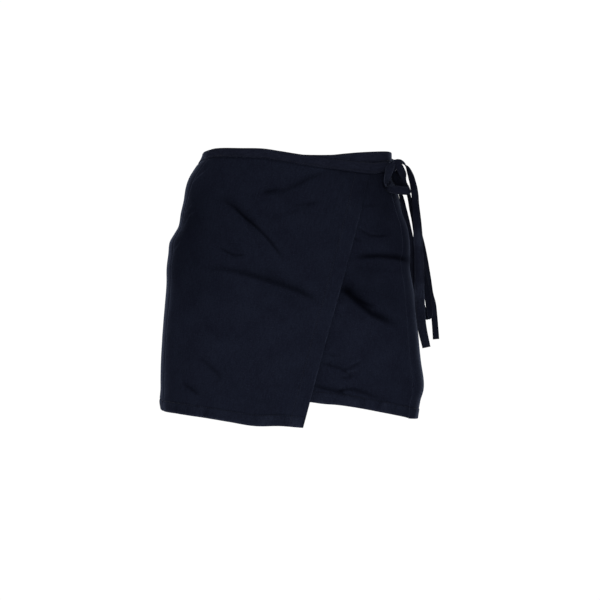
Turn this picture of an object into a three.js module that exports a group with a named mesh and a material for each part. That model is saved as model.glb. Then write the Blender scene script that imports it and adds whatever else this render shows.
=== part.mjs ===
// A short wrap skirt in dark blue twill, tied with a bow at one side, in the hollow form it has when worn.
// Millimetres, +Z up, front facing -Y. The origin is the middle of the waist, half way up the waistband.
// Angles are in degrees round the waist, 0 at the front and growing towards +X.
// A drop is a distance below the origin's level.
import * as THREE from "three";

const CLOTH = 1.2; // one layer of twill
const TURNED = 0.6; // what a turned edge adds, on its inside
const SEAM = 0.36; // between two pieces that are sewn together
const BAND = { height: 15.2, thickness: 2.4, proud: 0.6, steps: 120 };
const OVERLAP_LIFT = 3.4; // the over layer's outside, above the under layer's, at the waist
const HEM_LIFT = 5.4; // what that lift gains down to the hem
const CORNER_LIFT = 3.0; // what the free front corner gains on top
const CORNER_REACH = 60;
const LAYER_GAP = 3.4; // least depth of the under layer's outside below the over layer's
const RAMP = 21; // degrees in which the over layer climbs onto the under layer
const SQUARENESS = 2.25; // exponent of each level's rounded oval
const FLAT_PER_DEGREE = 2.65; // millimetres of cloth to a degree, for placing folds
const SKIRT_DROP = 380;
const FACING_WIDTH = 19.5;
const HEM_DEPTH = 15;
const TIE = { width: 12, thickness: 1.6, stepsPerRow: 2 };
// The front tie's first stretch, from the waistband's end to the knot.
const LEAD = { endAngle: 70.6, endHeight: 10.5, endThickness: 2, steps: 5 };
// The low ridge on each side of a fold, in shares of the fold's depth and width.
const RIDGE = { height: 0.22, away: 1.9 };
const EDGE_DROP = 20; // where the waistband's outer end meets the over panel's edge
const PANEL_ROWS = 30;
const SOLVING = { halvings: 24, passes: 6, step: 0.5 }; // how finely places on the cloth are found

// The levels of the worn shape: how far the cloth reaches from the axis on each side.
const LEVELS = [
  { drop: -16, left: 134, right: 137.8, front: 97, back: 97 },
  { drop: 0, left: 136.2, right: 138.2, front: 98, back: 98 },
  { drop: 16, left: 146.5, right: 138.6, front: 100, back: 101 },
  { drop: 30, left: 155, right: 138.8, front: 103, back: 106 },
  { drop: 45, left: 160, right: 145.5, front: 105, back: 112 },
  { drop: 62, left: 162.7, right: 150.4, front: 107.5, back: 118 },
  { drop: 80, left: 166.8, right: 155.8, front: 110, back: 124 },
  { drop: 99, left: 170, right: 163, front: 111.5, back: 128 },
  { drop: 112, left: 177, right: 165.5, front: 112, back: 129.5 },
  { drop: 123, left: 183, right: 166.8, front: 112, back: 130 },
  { drop: 140, left: 184.7, right: 167, front: 112, back: 130 },
  { drop: 160, left: 187.1, right: 166.5, front: 112, back: 130 },
  { drop: 180, left: 187.2, right: 169.5, front: 112, back: 129 },
  { drop: 206, left: 188.8, right: 172.8, front: 112.5, back: 128 },
  { drop: 251, left: 193, right: 176.5, front: 114, back: 127 },
  { drop: 293, left: 195.2, right: 180.7, front: 116, back: 126 },
  { drop: 320, left: 195.8, right: 184.8, front: 117, back: 125.5 },
  { drop: 335, left: 195.9, right: 184.6, front: 117.5, back: 125 },
  { drop: 351, left: 197, right: 180, front: 118, back: 125 },
  { drop: 366, left: 195, right: 177.5, front: 118, back: 124.5 },
  { drop: 384, left: 191.5, right: 175, front: 118, back: 124 },
];

// The waistband's top edge, on the layer that goes all round and on the over layer.
const WAIST_LINE = [
  { angle: -60, z: 7.6 },
  { angle: -42, z: 5 },
  { angle: -26, z: 3.5 },
  { angle: -12, z: -0.6 },
  { angle: 3, z: -4.1 },
  { angle: 27, z: -4.3 },
  { angle: 38, z: -1.8 },
  { angle: 48, z: -0.1 },
  { angle: 75, z: 4.6 },
  { angle: 90, z: 7.6 },
  { angle: 180, z: 12.6 },
  { angle: 240, z: 9.4 },
  { angle: 270, z: 5.2 },
  { angle: 286, z: 6.9 },
  { angle: 298, z: 8.2 },
];
const OVER_LINE = [
  { angle: -90, z: 5.2 },
  { angle: -74, z: 6.9 },
  { angle: -62, z: 8.2 },
  { angle: -42, z: 5.8 },
  { angle: -26, z: 4.3 },
  { angle: -12, z: 0.3 },
  { angle: 3, z: -4 },
  { angle: 22.5, z: -8.4 },
  { angle: 45, z: -11.6 },
  { angle: 70, z: -11.8 },
];

// The hems, as drops at angles round the skirt.
const OVER_HEM = [
  { angle: -90, drop: 363.5 },
  { angle: -76, drop: 364.8 },
  { angle: -66, drop: 365.2 },
  { angle: -56, drop: 367.4 },
  { angle: -48, drop: 370.2 },
  { angle: -40, drop: 373.4 },
  { angle: -26, drop: 378.6 },
  { angle: -10, drop: 378.4 },
  { angle: 5, drop: 380.6 },
];
const UNDER_HEM = [
  { angle: -6, drop: 344 },
  { angle: 9, drop: 346.2 },
  { angle: 18, drop: 348.8 },
  { angle: 28, drop: 350.8 },
  { angle: 40, drop: 355.6 },
  { angle: 52, drop: 362.2 },
  { angle: 64, drop: 369.2 },
  { angle: 72, drop: 374 },
];
const BACK_HEM = [
  { angle: 64, drop: 369.2 },
  { angle: 72, drop: 374 },
  { angle: 92, drop: 376.4 },
  { angle: 135, drop: 367 },
  { angle: 180, drop: 361 },
  { angle: 225, drop: 360 },
  { angle: 286, drop: 364.8 },
];

// The two front edges, which slant towards the middle of the hem, and the side seams.
const OVER_EDGE = [
  { drop: 16, x: 104 },
  { drop: 94, x: 86 },
  { drop: 171.5, x: 66 },
  { drop: 255, x: 43 },
  { drop: 382, x: 9.5 },
];
const UNDER_EDGE = [
  { drop: -10, x: -88 },
  { drop: 382, x: -12 },
];
const LEFT_SEAM = [
  { drop: -16, angle: -65 },
  { drop: 37, angle: -72.5 },
  { drop: 80, angle: -76 },
  { drop: 384, angle: -78 },
];
const RIGHT_SEAM = 70;

// Folds, each a trough from one point to another as seen from the front, or from behind for the back's.
// bow bends its middle sideways, and deepest is the share of its run where it is deepest.
const OVER_FOLDS = [
  { x1: -100, drop1: 60, x2: -20, drop2: 150, bow: 5, depth: 5.5, width: 11, deepest: 0.45 },
  { x1: -122, drop1: 156, x2: 36, drop2: 212, bow: -5, depth: 7.5, width: 12, deepest: 0.7 },
  { x1: -108, drop1: 122, x2: -66, drop2: 146, bow: -3, depth: 3, width: 8, deepest: 0.5 },
  { x1: -64, drop1: 60, x2: 58, drop2: 26, bow: 3, depth: 2.8, width: 11, deepest: 0.5 },
  { x1: -156, drop1: 320, x2: -112, drop2: 348, bow: 0, depth: 3, width: 8, deepest: 0.5 },
  { x1: -134, drop1: 288, x2: -92, drop2: 320, bow: 3, depth: 2.6, width: 8, deepest: 0.5 },
  { x1: -122, drop1: 172, x2: -163, drop2: 336, bow: 12, depth: 3.4, width: 22, deepest: 0.4 },
  { x1: -116, drop1: 230, x2: -60, drop2: 284, bow: 4, depth: 2.4, width: 11, deepest: 0.5 },
];
const UNDER_FOLDS = [
  { x1: 74, drop1: 156, x2: 155, drop2: 152, bow: 4, depth: 5.5, width: 10, deepest: 0.35 },
  { x1: 52, drop1: 184, x2: 142, drop2: 236, bow: -4, depth: 9, width: 12, deepest: 0.2 },
  { x1: 78, drop1: 118, x2: 128, drop2: 120, bow: 0, depth: 2, width: 8, deepest: 0.5 },
  { x1: 30, drop1: 290, x2: 90, drop2: 314, bow: -4, depth: 3.2, width: 9, deepest: 0.4 },
  { x1: 145, drop1: 264, x2: 76, drop2: 308, bow: 4, depth: 2.8, width: 13, deepest: 0.5 },
];
const BACK_FOLDS = [
  { x1: 120, drop1: 96, x2: 30, drop2: 150, bow: -6, depth: 5, width: 10, deepest: 0.4 },
  { x1: -128, drop1: 108, x2: -24, drop2: 176, bow: 6, depth: 5.5, width: 10, deepest: 0.4 },
  { x1: -60, drop1: 66, x2: 52, drop2: 62, bow: 5, depth: 3, width: 10, deepest: 0.5 },
  { x1: 142, drop1: 168, x2: 66, drop2: 236, bow: -5, depth: 4.5, width: 12, deepest: 0.4 },
  { x1: -146, drop1: 200, x2: -96, drop2: 330, bow: -8, depth: 4, width: 20, deepest: 0.5 },
  { x1: 98, drop1: 268, x2: 132, drop2: 342, bow: 5, depth: 3.6, width: 18, deepest: 0.6 },
  { x1: -30, drop1: 236, x2: 12, drop2: 352, bow: 6, depth: 3, width: 20, deepest: 0.6 },
];

// The bow's straps: the middle line, the way the width points, and the share of the width that is spread.
const TAIL_FRONT = [
  { x: 139.5, y: -38, z: -7, wx: 0, wy: 1, wz: 0, spread: 0.8 },
  { x: 144.5, y: -38, z: -6.2, wx: 0, wy: 1, wz: 0, spread: 0.8 },
  { x: 149.7, y: -38, z: -7.2, wx: -0.1, wy: 1, wz: 0, spread: 0.9 },
  { x: 154.6, y: -38, z: -11.4, wx: -0.2, wy: 0.97, wz: 0, spread: 1 },
  { x: 158.8, y: -37.8, z: -17.5, wx: -0.35, wy: 0.93, wz: 0, spread: 1 },
  { x: 162.6, y: -37.4, z: -25.5, wx: -0.55, wy: 0.82, wz: 0, spread: 1 },
  { x: 165.8, y: -36.8, z: -36, wx: -0.72, wy: 0.68, wz: 0, spread: 1 },
  { x: 168.4, y: -36, z: -51, wx: -0.78, wy: 0.6, wz: 0, spread: 1 },
  { x: 170.6, y: -34.6, z: -72, wx: -0.82, wy: 0.55, wz: 0, spread: 1 },
  { x: 173.1, y: -32.6, z: -94.4, wx: -0.88, wy: 0.45, wz: 0, spread: 1 },
  { x: 175.2, y: -30.4, z: -118, wx: -0.97, wy: 0.2, wz: 0, spread: 1 },
  { x: 176.8, y: -28.8, z: -141, wx: -1, wy: 0, wz: 0, spread: 1 },
  { x: 178.1, y: -28, z: -170, wx: -1, wy: 0, wz: 0, spread: 1 },
  { x: 179, y: -28, z: -196, wx: -1, wy: 0, wz: 0, spread: 1 },
  { x: 180.2, y: -28, z: -222, wx: -1, wy: 0.05, wz: 0, spread: 1 },
  { x: 182.5, y: -28, z: -247, wx: -1, wy: 0.12, wz: 0, spread: 1 },
  { x: 187.2, y: -28.4, z: -273.9, wx: -0.9, wy: 0.2, wz: 0, spread: 1 },
];
const TAIL_BACK = [
  { x: 150.8, y: -38.2, z: -15, wx: 0.3, wy: 0.2, wz: 0.9, spread: 0.65 },
  { x: 152.6, y: -36, z: -21, wx: 0.6, wy: 0.6, wz: 0.5, spread: 0.75 },
  { x: 156, y: -31, z: -29, wx: 0.2, wy: 0.95, wz: 0.1, spread: 0.85 },
  { x: 160.4, y: -25.4, z: -39.5, wx: 0, wy: 1, wz: 0, spread: 0.9 },
  { x: 166, y: -21.5, z: -51.5, wx: -0.1, wy: 1, wz: 0, spread: 1 },
  { x: 171, y: -18.6, z: -67.5, wx: 0, wy: 1, wz: 0, spread: 1 },
  { x: 175.2, y: -16.5, z: -85, wx: 0.2, wy: 0.9, wz: 0, spread: 1 },
  { x: 179.4, y: -12.5, z: -105.8, wx: 0.5, wy: 0.8, wz: 0, spread: 1 },
  { x: 184.2, y: -8.5, z: -134, wx: 0.68, wy: 0.72, wz: 0, spread: 1 },
  { x: 188.8, y: -6.5, z: -163, wx: 0.66, wy: 0.74, wz: 0, spread: 1 },
  { x: 193.2, y: -6, z: -191.6, wx: 0.64, wy: 0.76, wz: 0, spread: 1 },
  { x: 198.2, y: -6, z: -214, wx: 0.62, wy: 0.78, wz: 0, spread: 1 },
  { x: 201, y: -6, z: -238, wx: 0.62, wy: 0.78, wz: 0, spread: 1 },
  { x: 202.6, y: -6, z: -262.6, wx: 0.64, wy: 0.76, wz: 0, spread: 1 },
];
const LOOP_SHORT = [
  { x: 137.6, y: -46.2, z: -14.2, wx: 0.9, wy: 0.4, wz: 0.3, spread: 0.75 },
  { x: 134, y: -55.4, z: -21.5, wx: 0.95, wy: 0.3, wz: 0.1, spread: 0.95 },
  { x: 131, y: -61.6, z: -30.6, wx: 0.75, wy: 0.6, wz: 0, spread: 1 },
  { x: 129.2, y: -64.4, z: -38.6, wx: 0.45, wy: 0.8, wz: -0.2, spread: 1 },
  { x: 130.4, y: -64.4, z: -44.6, wx: 0.2, wy: 0.75, wz: -0.6, spread: 1 },
  { x: 136.6, y: -61.5, z: -47.6, wx: 0, wy: 0.4, wz: -0.9, spread: 1 },
  { x: 145.5, y: -56.5, z: -49, wx: 0, wy: 0.1, wz: -1, spread: 1 },
  { x: 153.8, y: -50, z: -50.4, wx: 0, wy: 0.1, wz: -1, spread: 1 },
  { x: 159.9, y: -44.4, z: -50.4, wx: 0.1, wy: 0.2, wz: -1, spread: 1 },
  { x: 161.7, y: -40.6, z: -47, wx: 0.45, wy: 0.3, wz: -0.75, spread: 1 },
  { x: 157, y: -38.6, z: -43.4, wx: 0.72, wy: 0.2, wz: -0.1, spread: 1 },
  { x: 150, y: -38.8, z: -36.4, wx: 0.8, wy: 0.15, wz: 0.4, spread: 0.95 },
  { x: 145, y: -39.2, z: -28, wx: 0.85, wy: 0.1, wz: 0.45, spread: 0.8 },
  { x: 143, y: -39.6, z: -22, wx: 0.95, wy: 0.1, wz: 0.3, spread: 0.7 },
];
const LOOP_LONG = [
  { x: 138, y: -32.6, z: -21.2, wx: 0.3, wy: 0.9, wz: 0, spread: 0.7 },
  { x: 142.8, y: -25, z: -34, wx: 0.1, wy: 1, wz: 0, spread: 0.9 },
  { x: 148.8, y: -21, z: -48, wx: 0, wy: 1, wz: 0, spread: 1 },
  { x: 153.6, y: -18.6, z: -63, wx: 0, wy: 1, wz: 0, spread: 1 },
  { x: 159.6, y: -18, z: -81.5, wx: 0, wy: 1, wz: 0, spread: 1 },
  { x: 165, y: -18, z: -101, wx: 0, wy: 1, wz: 0, spread: 1 },
  { x: 168, y: -18, z: -123, wx: 0, wy: 1, wz: 0, spread: 1 },
  { x: 169, y: -18, z: -147, wx: 0, wy: 1, wz: 0, spread: 1 },
  { x: 171.4, y: -18, z: -172, wx: 0, wy: 1, wz: 0, spread: 1 },
  { x: 176.2, y: -18, z: -195, wx: 0, wy: 1, wz: 0, spread: 1 },
  { x: 181.6, y: -18, z: -214, wx: 0, wy: 1, wz: 0, spread: 1 },
  { x: 186.4, y: -18, z: -228, wx: 0, wy: 1, wz: 0, spread: 1 },
  { x: 189, y: -18, z: -231.4, wx: 0, wy: 1, wz: 0, spread: 1 },
  { x: 190.9, y: -18, z: -227, wx: 0, wy: 1, wz: 0, spread: 1 },
  { x: 189.9, y: -18, z: -211, wx: 0, wy: 1, wz: 0, spread: 1 },
  { x: 186.6, y: -18, z: -190, wx: 0, wy: 1, wz: 0, spread: 1 },
  { x: 182.2, y: -18, z: -166, wx: 0, wy: 1, wz: 0, spread: 1 },
  { x: 177.6, y: -18.5, z: -139, wx: 0, wy: 1, wz: 0, spread: 1 },
  { x: 173.4, y: -19.5, z: -113, wx: 0, wy: 1, wz: 0, spread: 1 },
  { x: 169, y: -21, z: -88, wx: 0, wy: 1, wz: 0, spread: 1 },
  { x: 164.6, y: -22, z: -67, wx: 0, wy: 1, wz: 0, spread: 1 },
  { x: 160, y: -23.6, z: -50, wx: 0, wy: 1, wz: 0, spread: 1 },
  { x: 152.2, y: -27, z: -34, wx: 0.2, wy: 0.95, wz: 0, spread: 0.9 },
  { x: 144.4, y: -31.4, z: -21, wx: 0.3, wy: 0.9, wz: 0, spread: 0.7 },
];
const TIE_SIDE = [
  { x: 139.9, y: 14, z: -0.4, wx: 0, wy: 0, wz: 1, spread: 1 },
  { x: 140.1, y: 4, z: -0.8, wx: 0, wy: 0, wz: 1, spread: 1 },
  { x: 140, y: -6, z: -3, wx: 0, wy: 0, wz: 1, spread: 1 },
  { x: 139.6, y: -15, z: -7, wx: 0, wy: 0.1, wz: 1, spread: 0.9 },
  { x: 138.6, y: -22.5, z: -10.8, wx: 0, wy: 0.1, wz: 1, spread: 0.8 },
  { x: 138.4, y: -28.2, z: -13, wx: 0, wy: 0, wz: 1, spread: 0.7 },
];
const KNOT = { x: 140.3, y: -37.2, z: -14.4, reachX: 7.6, reachY: 8, reachZ: 6.2, roundness: 0.8 };
const KNOT_FACES = { around: 14, down: 9 };

const TWILL = { color: 0x171b29, roughness: 0.92, metalness: 0 };
const FADED_TWILL = { color: 0x1c2130, roughness: 0.9, metalness: 0 };

const radians = THREE.MathUtils.degToRad;
const mix = THREE.MathUtils.lerp;
const smooth = (t) => THREE.MathUtils.smoothstep(t, 0, 1);

// A smooth curve through a table's rows, read at one of its columns.
function readTable(rows, key, value, at) {
  const last = rows.length - 1;
  const within = THREE.MathUtils.clamp(at, rows[0][key], rows[last][key]);
  let i = 0;
  while (i < last - 1 && within > rows[i + 1][key]) i += 1;
  const slopeAt = (k) => {
    const before = rows[Math.max(k - 1, 0)];
    const after = rows[Math.min(k + 1, last)];
    return (after[value] - before[value]) / (after[key] - before[key]);
  };
  const span = rows[i + 1][key] - rows[i][key];
  const t = (within - rows[i][key]) / span;
  const ease = t * t * (3 - 2 * t);
  const leave = t * (1 - t) * (1 - t) * span * slopeAt(i);
  const arrive = t * t * (1 - t) * span * slopeAt(i + 1);
  return mix(rows[i][value], rows[i + 1][value], ease) + leave - arrive;
}

// The oval's reach towards an angle at a level: along the cloth, and the way it faces there.
function ovalAt(angle, drop) {
  const sine = Math.sin(radians(angle));
  const cosine = Math.cos(radians(angle));
  const side = readTable(LEVELS, "drop", sine < 0 ? "left" : "right", drop);
  const depth = readTable(LEVELS, "drop", cosine < 0 ? "back" : "front", drop);
  const across = Math.abs(sine) / side;
  const along = Math.abs(cosine) / depth;
  const radius = (across ** SQUARENESS + along ** SQUARENESS) ** (-1 / SQUARENESS);
  const facing = new THREE.Vector2(
    (Math.sign(sine) * across ** (SQUARENESS - 1)) / side,
    (-Math.sign(cosine) * along ** (SQUARENESS - 1)) / depth,
  ).normalize();
  return { x: radius * sine, y: -radius * cosine, facing };
}

function clothPoint(angle, drop, offset) {
  const oval = ovalAt(angle, drop);
  return new THREE.Vector3(oval.x + offset * oval.facing.x, oval.y + offset * oval.facing.y, -drop);
}

// The angle at which the front, or the back, lies at a distance x from the middle.
function angleAtX(x, drop, isBack = false) {
  const side = x < 0 ? -1 : 1;
  let low = 0;
  let high = 89;
  for (let i = 0; i < SOLVING.halvings; i += 1) {
    const middle = (low + high) / 2;
    const angle = isBack ? 180 - side * middle : side * middle;
    if (Math.abs(ovalAt(angle, drop).x) < Math.abs(x)) low = middle;
    else high = middle;
  }
  return isBack ? 180 - side * low : side * low;
}

// A fold's run on the flat cloth, ready to measure points against.
function layFold(row, isBack) {
  const lay = (x, drop) =>
    new THREE.Vector2(angleAtX(x, drop, isBack) * FLAT_PER_DEGREE, drop);
  const start = lay(row.x1, row.drop1);
  const run = lay(row.x2, row.drop2).sub(start);
  return { ...row, start, run, across: new THREE.Vector2(-run.y, run.x).normalize() };
}

// How deep one fold is at an angle and drop: a trough with a low ridge on each side.
function foldDepth(fold, angle, drop) {
  const from = new THREE.Vector2(angle * FLAT_PER_DEGREE, drop).sub(fold.start);
  const t = from.dot(fold.run) / fold.run.lengthSq();
  if (t <= 0 || t >= 1) return 0;
  const rise = t < fold.deepest ? t / fold.deepest : (1 - t) / (1 - fold.deepest);
  const away = (from.dot(fold.across) - fold.bow * 4 * t * (1 - t)) / fold.width;
  const trough = Math.exp(-away * away);
  const ridge = Math.exp(-((Math.abs(away) - RIDGE.away) ** 2));
  return fold.depth * smooth(rise) * (trough - RIDGE.height * ridge);
}

const overFolds = OVER_FOLDS.map((row) => layFold(row, false));
const underFolds = UNDER_FOLDS.map((row) => layFold(row, false));
const backFolds = BACK_FOLDS.map((row) => layFold(row, true));
const depthOf = (folds, angle, drop) =>
  folds.reduce((sum, fold) => sum + foldDepth(fold, angle, drop), 0);

const leftSeam = (drop) => readTable(LEFT_SEAM, "drop", "angle", drop);
const overEdge = (drop, inset = 0) =>
  angleAtX(readTable(OVER_EDGE, "drop", "x", drop) - inset, drop);
const underEdge = (drop) => angleAtX(readTable(UNDER_EDGE, "drop", "x", drop), drop);
const waistLine = (angle) => readTable(WAIST_LINE, "angle", "z", angle);
const overLine = (angle) => readTable(OVER_LINE, "angle", "z", angle);
const gapAngle = SEAM / 2 / FLAT_PER_DEGREE;

// How far each layer's outside stands off the worn shape.
function overOffset(angle, drop) {
  const climb = smooth((angle - leftSeam(drop)) / RAMP);
  const down = THREE.MathUtils.clamp(drop / SKIRT_DROP, 0, 1);
  const toEdge = (overEdge(drop) - angle) * FLAT_PER_DEGREE;
  const corner = CORNER_LIFT * smooth(1 - toEdge / CORNER_REACH) * down * down;
  const lift = climb * (OVERLAP_LIFT + HEM_LIFT * down ** 1.5) + corner;
  return lift - depthOf(overFolds, angle, drop);
}

function underOffset(angle, drop) {
  const own = -depthOf(underFolds, angle, drop);
  if (angle > overEdge(drop)) return own;
  return Math.min(own, overOffset(angle, drop) - LAYER_GAP);
}

const backOffset = (angle, drop) => -depthOf(backFolds, angle, drop);

// The way a layer faces, from its own points just beside.
function facingOf(offset, angle, drop) {
  const step = SOLVING.step;
  const point = (a, d) => clothPoint(a, d, offset(a, d));
  const round = point(angle + step, drop).sub(point(angle - step, drop));
  const down = point(angle, drop + step).sub(point(angle, drop - step));
  return down.cross(round).normalize();
}

// A closed wall from a grid of points on its outside and one on its inside.
function wallGeometry(outside, inside) {
  const rows = outside.length;
  const columns = outside[0].length;
  const positions = [...outside.flat(), ...inside.flat()].flatMap((p) => [p.x, p.y, p.z]);
  const shift = rows * columns;
  const at = (i, j) => i * columns + j;
  const faces = [];
  const quad = (a, b, c, d) => faces.push(a, b, c, a, c, d);
  for (let i = 0; i + 1 < rows; i += 1) {
    for (let j = 0; j + 1 < columns; j += 1) {
      quad(at(i, j), at(i + 1, j), at(i + 1, j + 1), at(i, j + 1));
      quad(shift + at(i, j), shift + at(i, j + 1), shift + at(i + 1, j + 1), shift + at(i + 1, j));
    }
  }
  const rim = (a, b) => quad(a, b, shift + b, shift + a);
  for (let j = 0; j + 1 < columns; j += 1) {
    rim(at(0, j), at(0, j + 1));
    rim(at(rows - 1, j + 1), at(rows - 1, j));
  }
  for (let i = 0; i + 1 < rows; i += 1) {
    rim(at(i + 1, 0), at(i, 0));
    rim(at(i, columns - 1), at(i + 1, columns - 1));
  }
  const geometry = new THREE.BufferGeometry();
  geometry.setAttribute("position", new THREE.Float32BufferAttribute(positions, 3));
  geometry.setIndex(faces);
  geometry.computeVertexNormals();
  return geometry;
}

// Places across a panel: shares of its width or height up to a turned edge, then the turned edge itself.
function places(count, turnedDepth = 0) {
  const shares = Array.from({ length: count + 1 }, (_, i) => ({ share: i / count, inset: turnedDepth }));
  if (turnedDepth === 0) return shares;
  const edge = [turnedDepth / 2, 0].map((inset) => ({ share: 1, inset, turned: true }));
  return [...shares.slice(0, count), { share: 1, inset: turnedDepth, turned: true }, ...edge];
}

// A panel between two side edges, a top seam and a hem, each turned edge a little thicker.
function panelGeometry(panel) {
  const outside = [];
  const inside = [];
  for (const row of places(PANEL_ROWS, HEM_DEPTH)) {
    const outerRow = [];
    const innerRow = [];
    for (const column of panel.columns) {
      let drop = SKIRT_DROP * row.share;
      let angle = 0;
      for (let pass = 0; pass < SOLVING.passes; pass += 1) {
        angle = mix(panel.from(drop), panel.to(drop, column.inset), column.share);
        drop = mix(panel.top(angle), panel.hem(angle) - row.inset, row.share);
      }
      const outer = clothPoint(angle, drop, panel.offset(angle, drop));
      const turned = row.turned || column.turned ? TURNED : 0;
      const facing = facingOf(panel.offset, angle, drop);
      outerRow.push(outer);
      innerRow.push(outer.clone().addScaledVector(facing, -CLOTH - turned));
    }
    outside.push(outerRow);
    inside.push(innerRow);
  }
  return wallGeometry(outside, inside);
}

// The waistband winds once and a third round the waist, from under the overlap onto its outside.
function waistbandGeometry() {
  const start = underEdge(0);
  const end = overEdge(EDGE_DROP) + 360;
  const turn = 360 + leftSeam(0);
  const outside = [[], []];
  const inside = [[], []];
  for (let i = 0; i <= BAND.steps; i += 1) {
    const wound = mix(start, end, i / BAND.steps);
    const isOver = wound > turn;
    const angle = isOver ? wound - 360 : wound;
    const top = isOver ? overLine(angle) : waistLine(angle);
    const lift = isOver ? OVERLAP_LIFT * smooth((wound - turn) / RAMP) : 0;
    const offset = () => lift + BAND.proud;
    [-top, BAND.height - top].forEach((drop, row) => {
      const outer = clothPoint(angle, drop, offset());
      const facing = facingOf(offset, angle, BAND.height / 2 - top).setZ(0).normalize();
      outside[row].push(outer);
      inside[row].push(outer.clone().addScaledVector(facing, -BAND.thickness));
    });
  }
  return wallGeometry(outside, inside);
}

// The over layer's band goes on past the panel's edge as a strap, narrowing to the knot.
function tieLeadGeometry() {
  const start = overEdge(EDGE_DROP) + 2 * gapAngle;
  const outside = [[], []];
  const inside = [[], []];
  for (let i = 0; i <= LEAD.steps; i += 1) {
    const t = i / LEAD.steps;
    const angle = mix(start, LEAD.endAngle, t);
    const middle = mix(BAND.height / 2 - overLine(start), -KNOT.z, smooth(t));
    const half = mix(BAND.height, LEAD.endHeight, smooth(t)) / 2;
    const offset = () => OVERLAP_LIFT + BAND.proud;
    [middle - half, middle + half].forEach((drop, row) => {
      const outer = clothPoint(angle, drop, offset());
      const facing = facingOf(offset, angle, middle).setZ(0).normalize();
      outside[row].push(outer);
      inside[row].push(outer.clone().addScaledVector(facing, -mix(BAND.thickness, LEAD.endThickness, t)));
    });
  }
  return wallGeometry(outside, inside);
}

// A flat strap swept along a table's rows, with square ends.
function strapGeometry(rows) {
  const line = new THREE.CatmullRomCurve3(
    rows.map((row) => new THREE.Vector3(row.x, row.y, row.z)),
    false,
    "catmullrom",
  );
  const widths = new THREE.CatmullRomCurve3(
    rows.map((row) => new THREE.Vector3(row.wx, row.wy, row.wz).normalize()),
    false,
    "catmullrom",
  );
  const spreads = new THREE.CatmullRomCurve3(
    rows.map((row) => new THREE.Vector3(row.spread, 0, 0)),
    false,
    "catmullrom",
  );
  const count = (rows.length - 1) * TIE.stepsPerRow;
  const outside = [[], []];
  const inside = [[], []];
  for (let i = 0; i <= count; i += 1) {
    const t = i / count;
    const ahead = line.getTangent(t);
    const middle = line.getPoint(t);
    const width = widths.getPoint(t);
    width.addScaledVector(ahead, -width.dot(ahead)).setLength((TIE.width / 2) * spreads.getPoint(t).x);
    const up = ahead.clone().cross(width).setLength(TIE.thickness / 2);
    [1, -1].forEach((side, row) => {
      const edge = middle.clone().addScaledVector(width, side);
      outside[row].push(edge.clone().add(up));
      inside[row].push(edge.clone().sub(up));
    });
  }
  return wallGeometry(outside, inside);
}

function knotGeometry() {
  const ball = new THREE.SphereGeometry(1, KNOT_FACES.around, KNOT_FACES.down);
  const position = ball.getAttribute("position");
  const square = (value) => Math.sign(value) * Math.abs(value) ** KNOT.roundness;
  for (let i = 0; i < position.count; i += 1) {
    position.setXYZ(
      i,
      KNOT.x + KNOT.reachX * square(position.getX(i)),
      KNOT.y + KNOT.reachY * square(position.getY(i)),
      KNOT.z + KNOT.reachZ * square(position.getZ(i)),
    );
  }
  ball.deleteAttribute("uv");
  return ball;
}

const overPanel = {
  from: (drop) => leftSeam(drop) + gapAngle,
  to: overEdge,
  top: (angle) => BAND.height + SEAM - overLine(angle),
  hem: (angle) => readTable(OVER_HEM, "angle", "drop", angle),
  offset: overOffset,
  columns: places(32, FACING_WIDTH),
};
const underPanel = {
  from: underEdge,
  to: () => RIGHT_SEAM - gapAngle,
  top: (angle) => BAND.height + SEAM - waistLine(angle),
  hem: (angle) => readTable(UNDER_HEM, "angle", "drop", angle),
  offset: underOffset,
  columns: places(24),
};
const backPanel = {
  from: () => RIGHT_SEAM + gapAngle,
  to: (drop) => 360 + leftSeam(drop) - gapAngle,
  top: (angle) => BAND.height + SEAM - waistLine(angle),
  hem: (angle) => readTable(BACK_HEM, "angle", "drop", angle),
  offset: backOffset,
  columns: places(34),
};

const skirt = new THREE.Group();

function addPiece(name, geometry, finish) {
  const mesh = new THREE.Mesh(geometry, new THREE.MeshStandardMaterial(finish));
  mesh.name = name;
  skirt.add(mesh);
}

addPiece("back_panel", panelGeometry(backPanel), TWILL);
addPiece("under_panel", panelGeometry(underPanel), TWILL);
addPiece("over_panel", panelGeometry(overPanel), TWILL);
addPiece("waistband", waistbandGeometry(), FADED_TWILL);
addPiece("tie_lead", tieLeadGeometry(), FADED_TWILL);
addPiece("tie_side", strapGeometry(TIE_SIDE), FADED_TWILL);
addPiece("tie_knot", knotGeometry(), FADED_TWILL);
addPiece("tie_loop_short", strapGeometry(LOOP_SHORT), FADED_TWILL);
addPiece("tie_loop_long", strapGeometry(LOOP_LONG), FADED_TWILL);
addPiece("tie_tail_front", strapGeometry(TAIL_FRONT), FADED_TWILL);
addPiece("tie_tail_back", strapGeometry(TAIL_BACK), FADED_TWILL);

export default skirt;
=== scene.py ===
"""A short wrap skirt in dark blue twill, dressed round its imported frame.

Lengths are millimetres until a mesh is made, which is in metres. Angles are in degrees round the
waist, 0 at the front and growing towards +X, and a drop is a distance below the waist's level.
"""

import logging
import math
from dataclasses import dataclass
from enum import Enum
from typing import Sequence

import bmesh
import bpy
import numpy as np
from mathutils import Matrix, Vector


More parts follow.
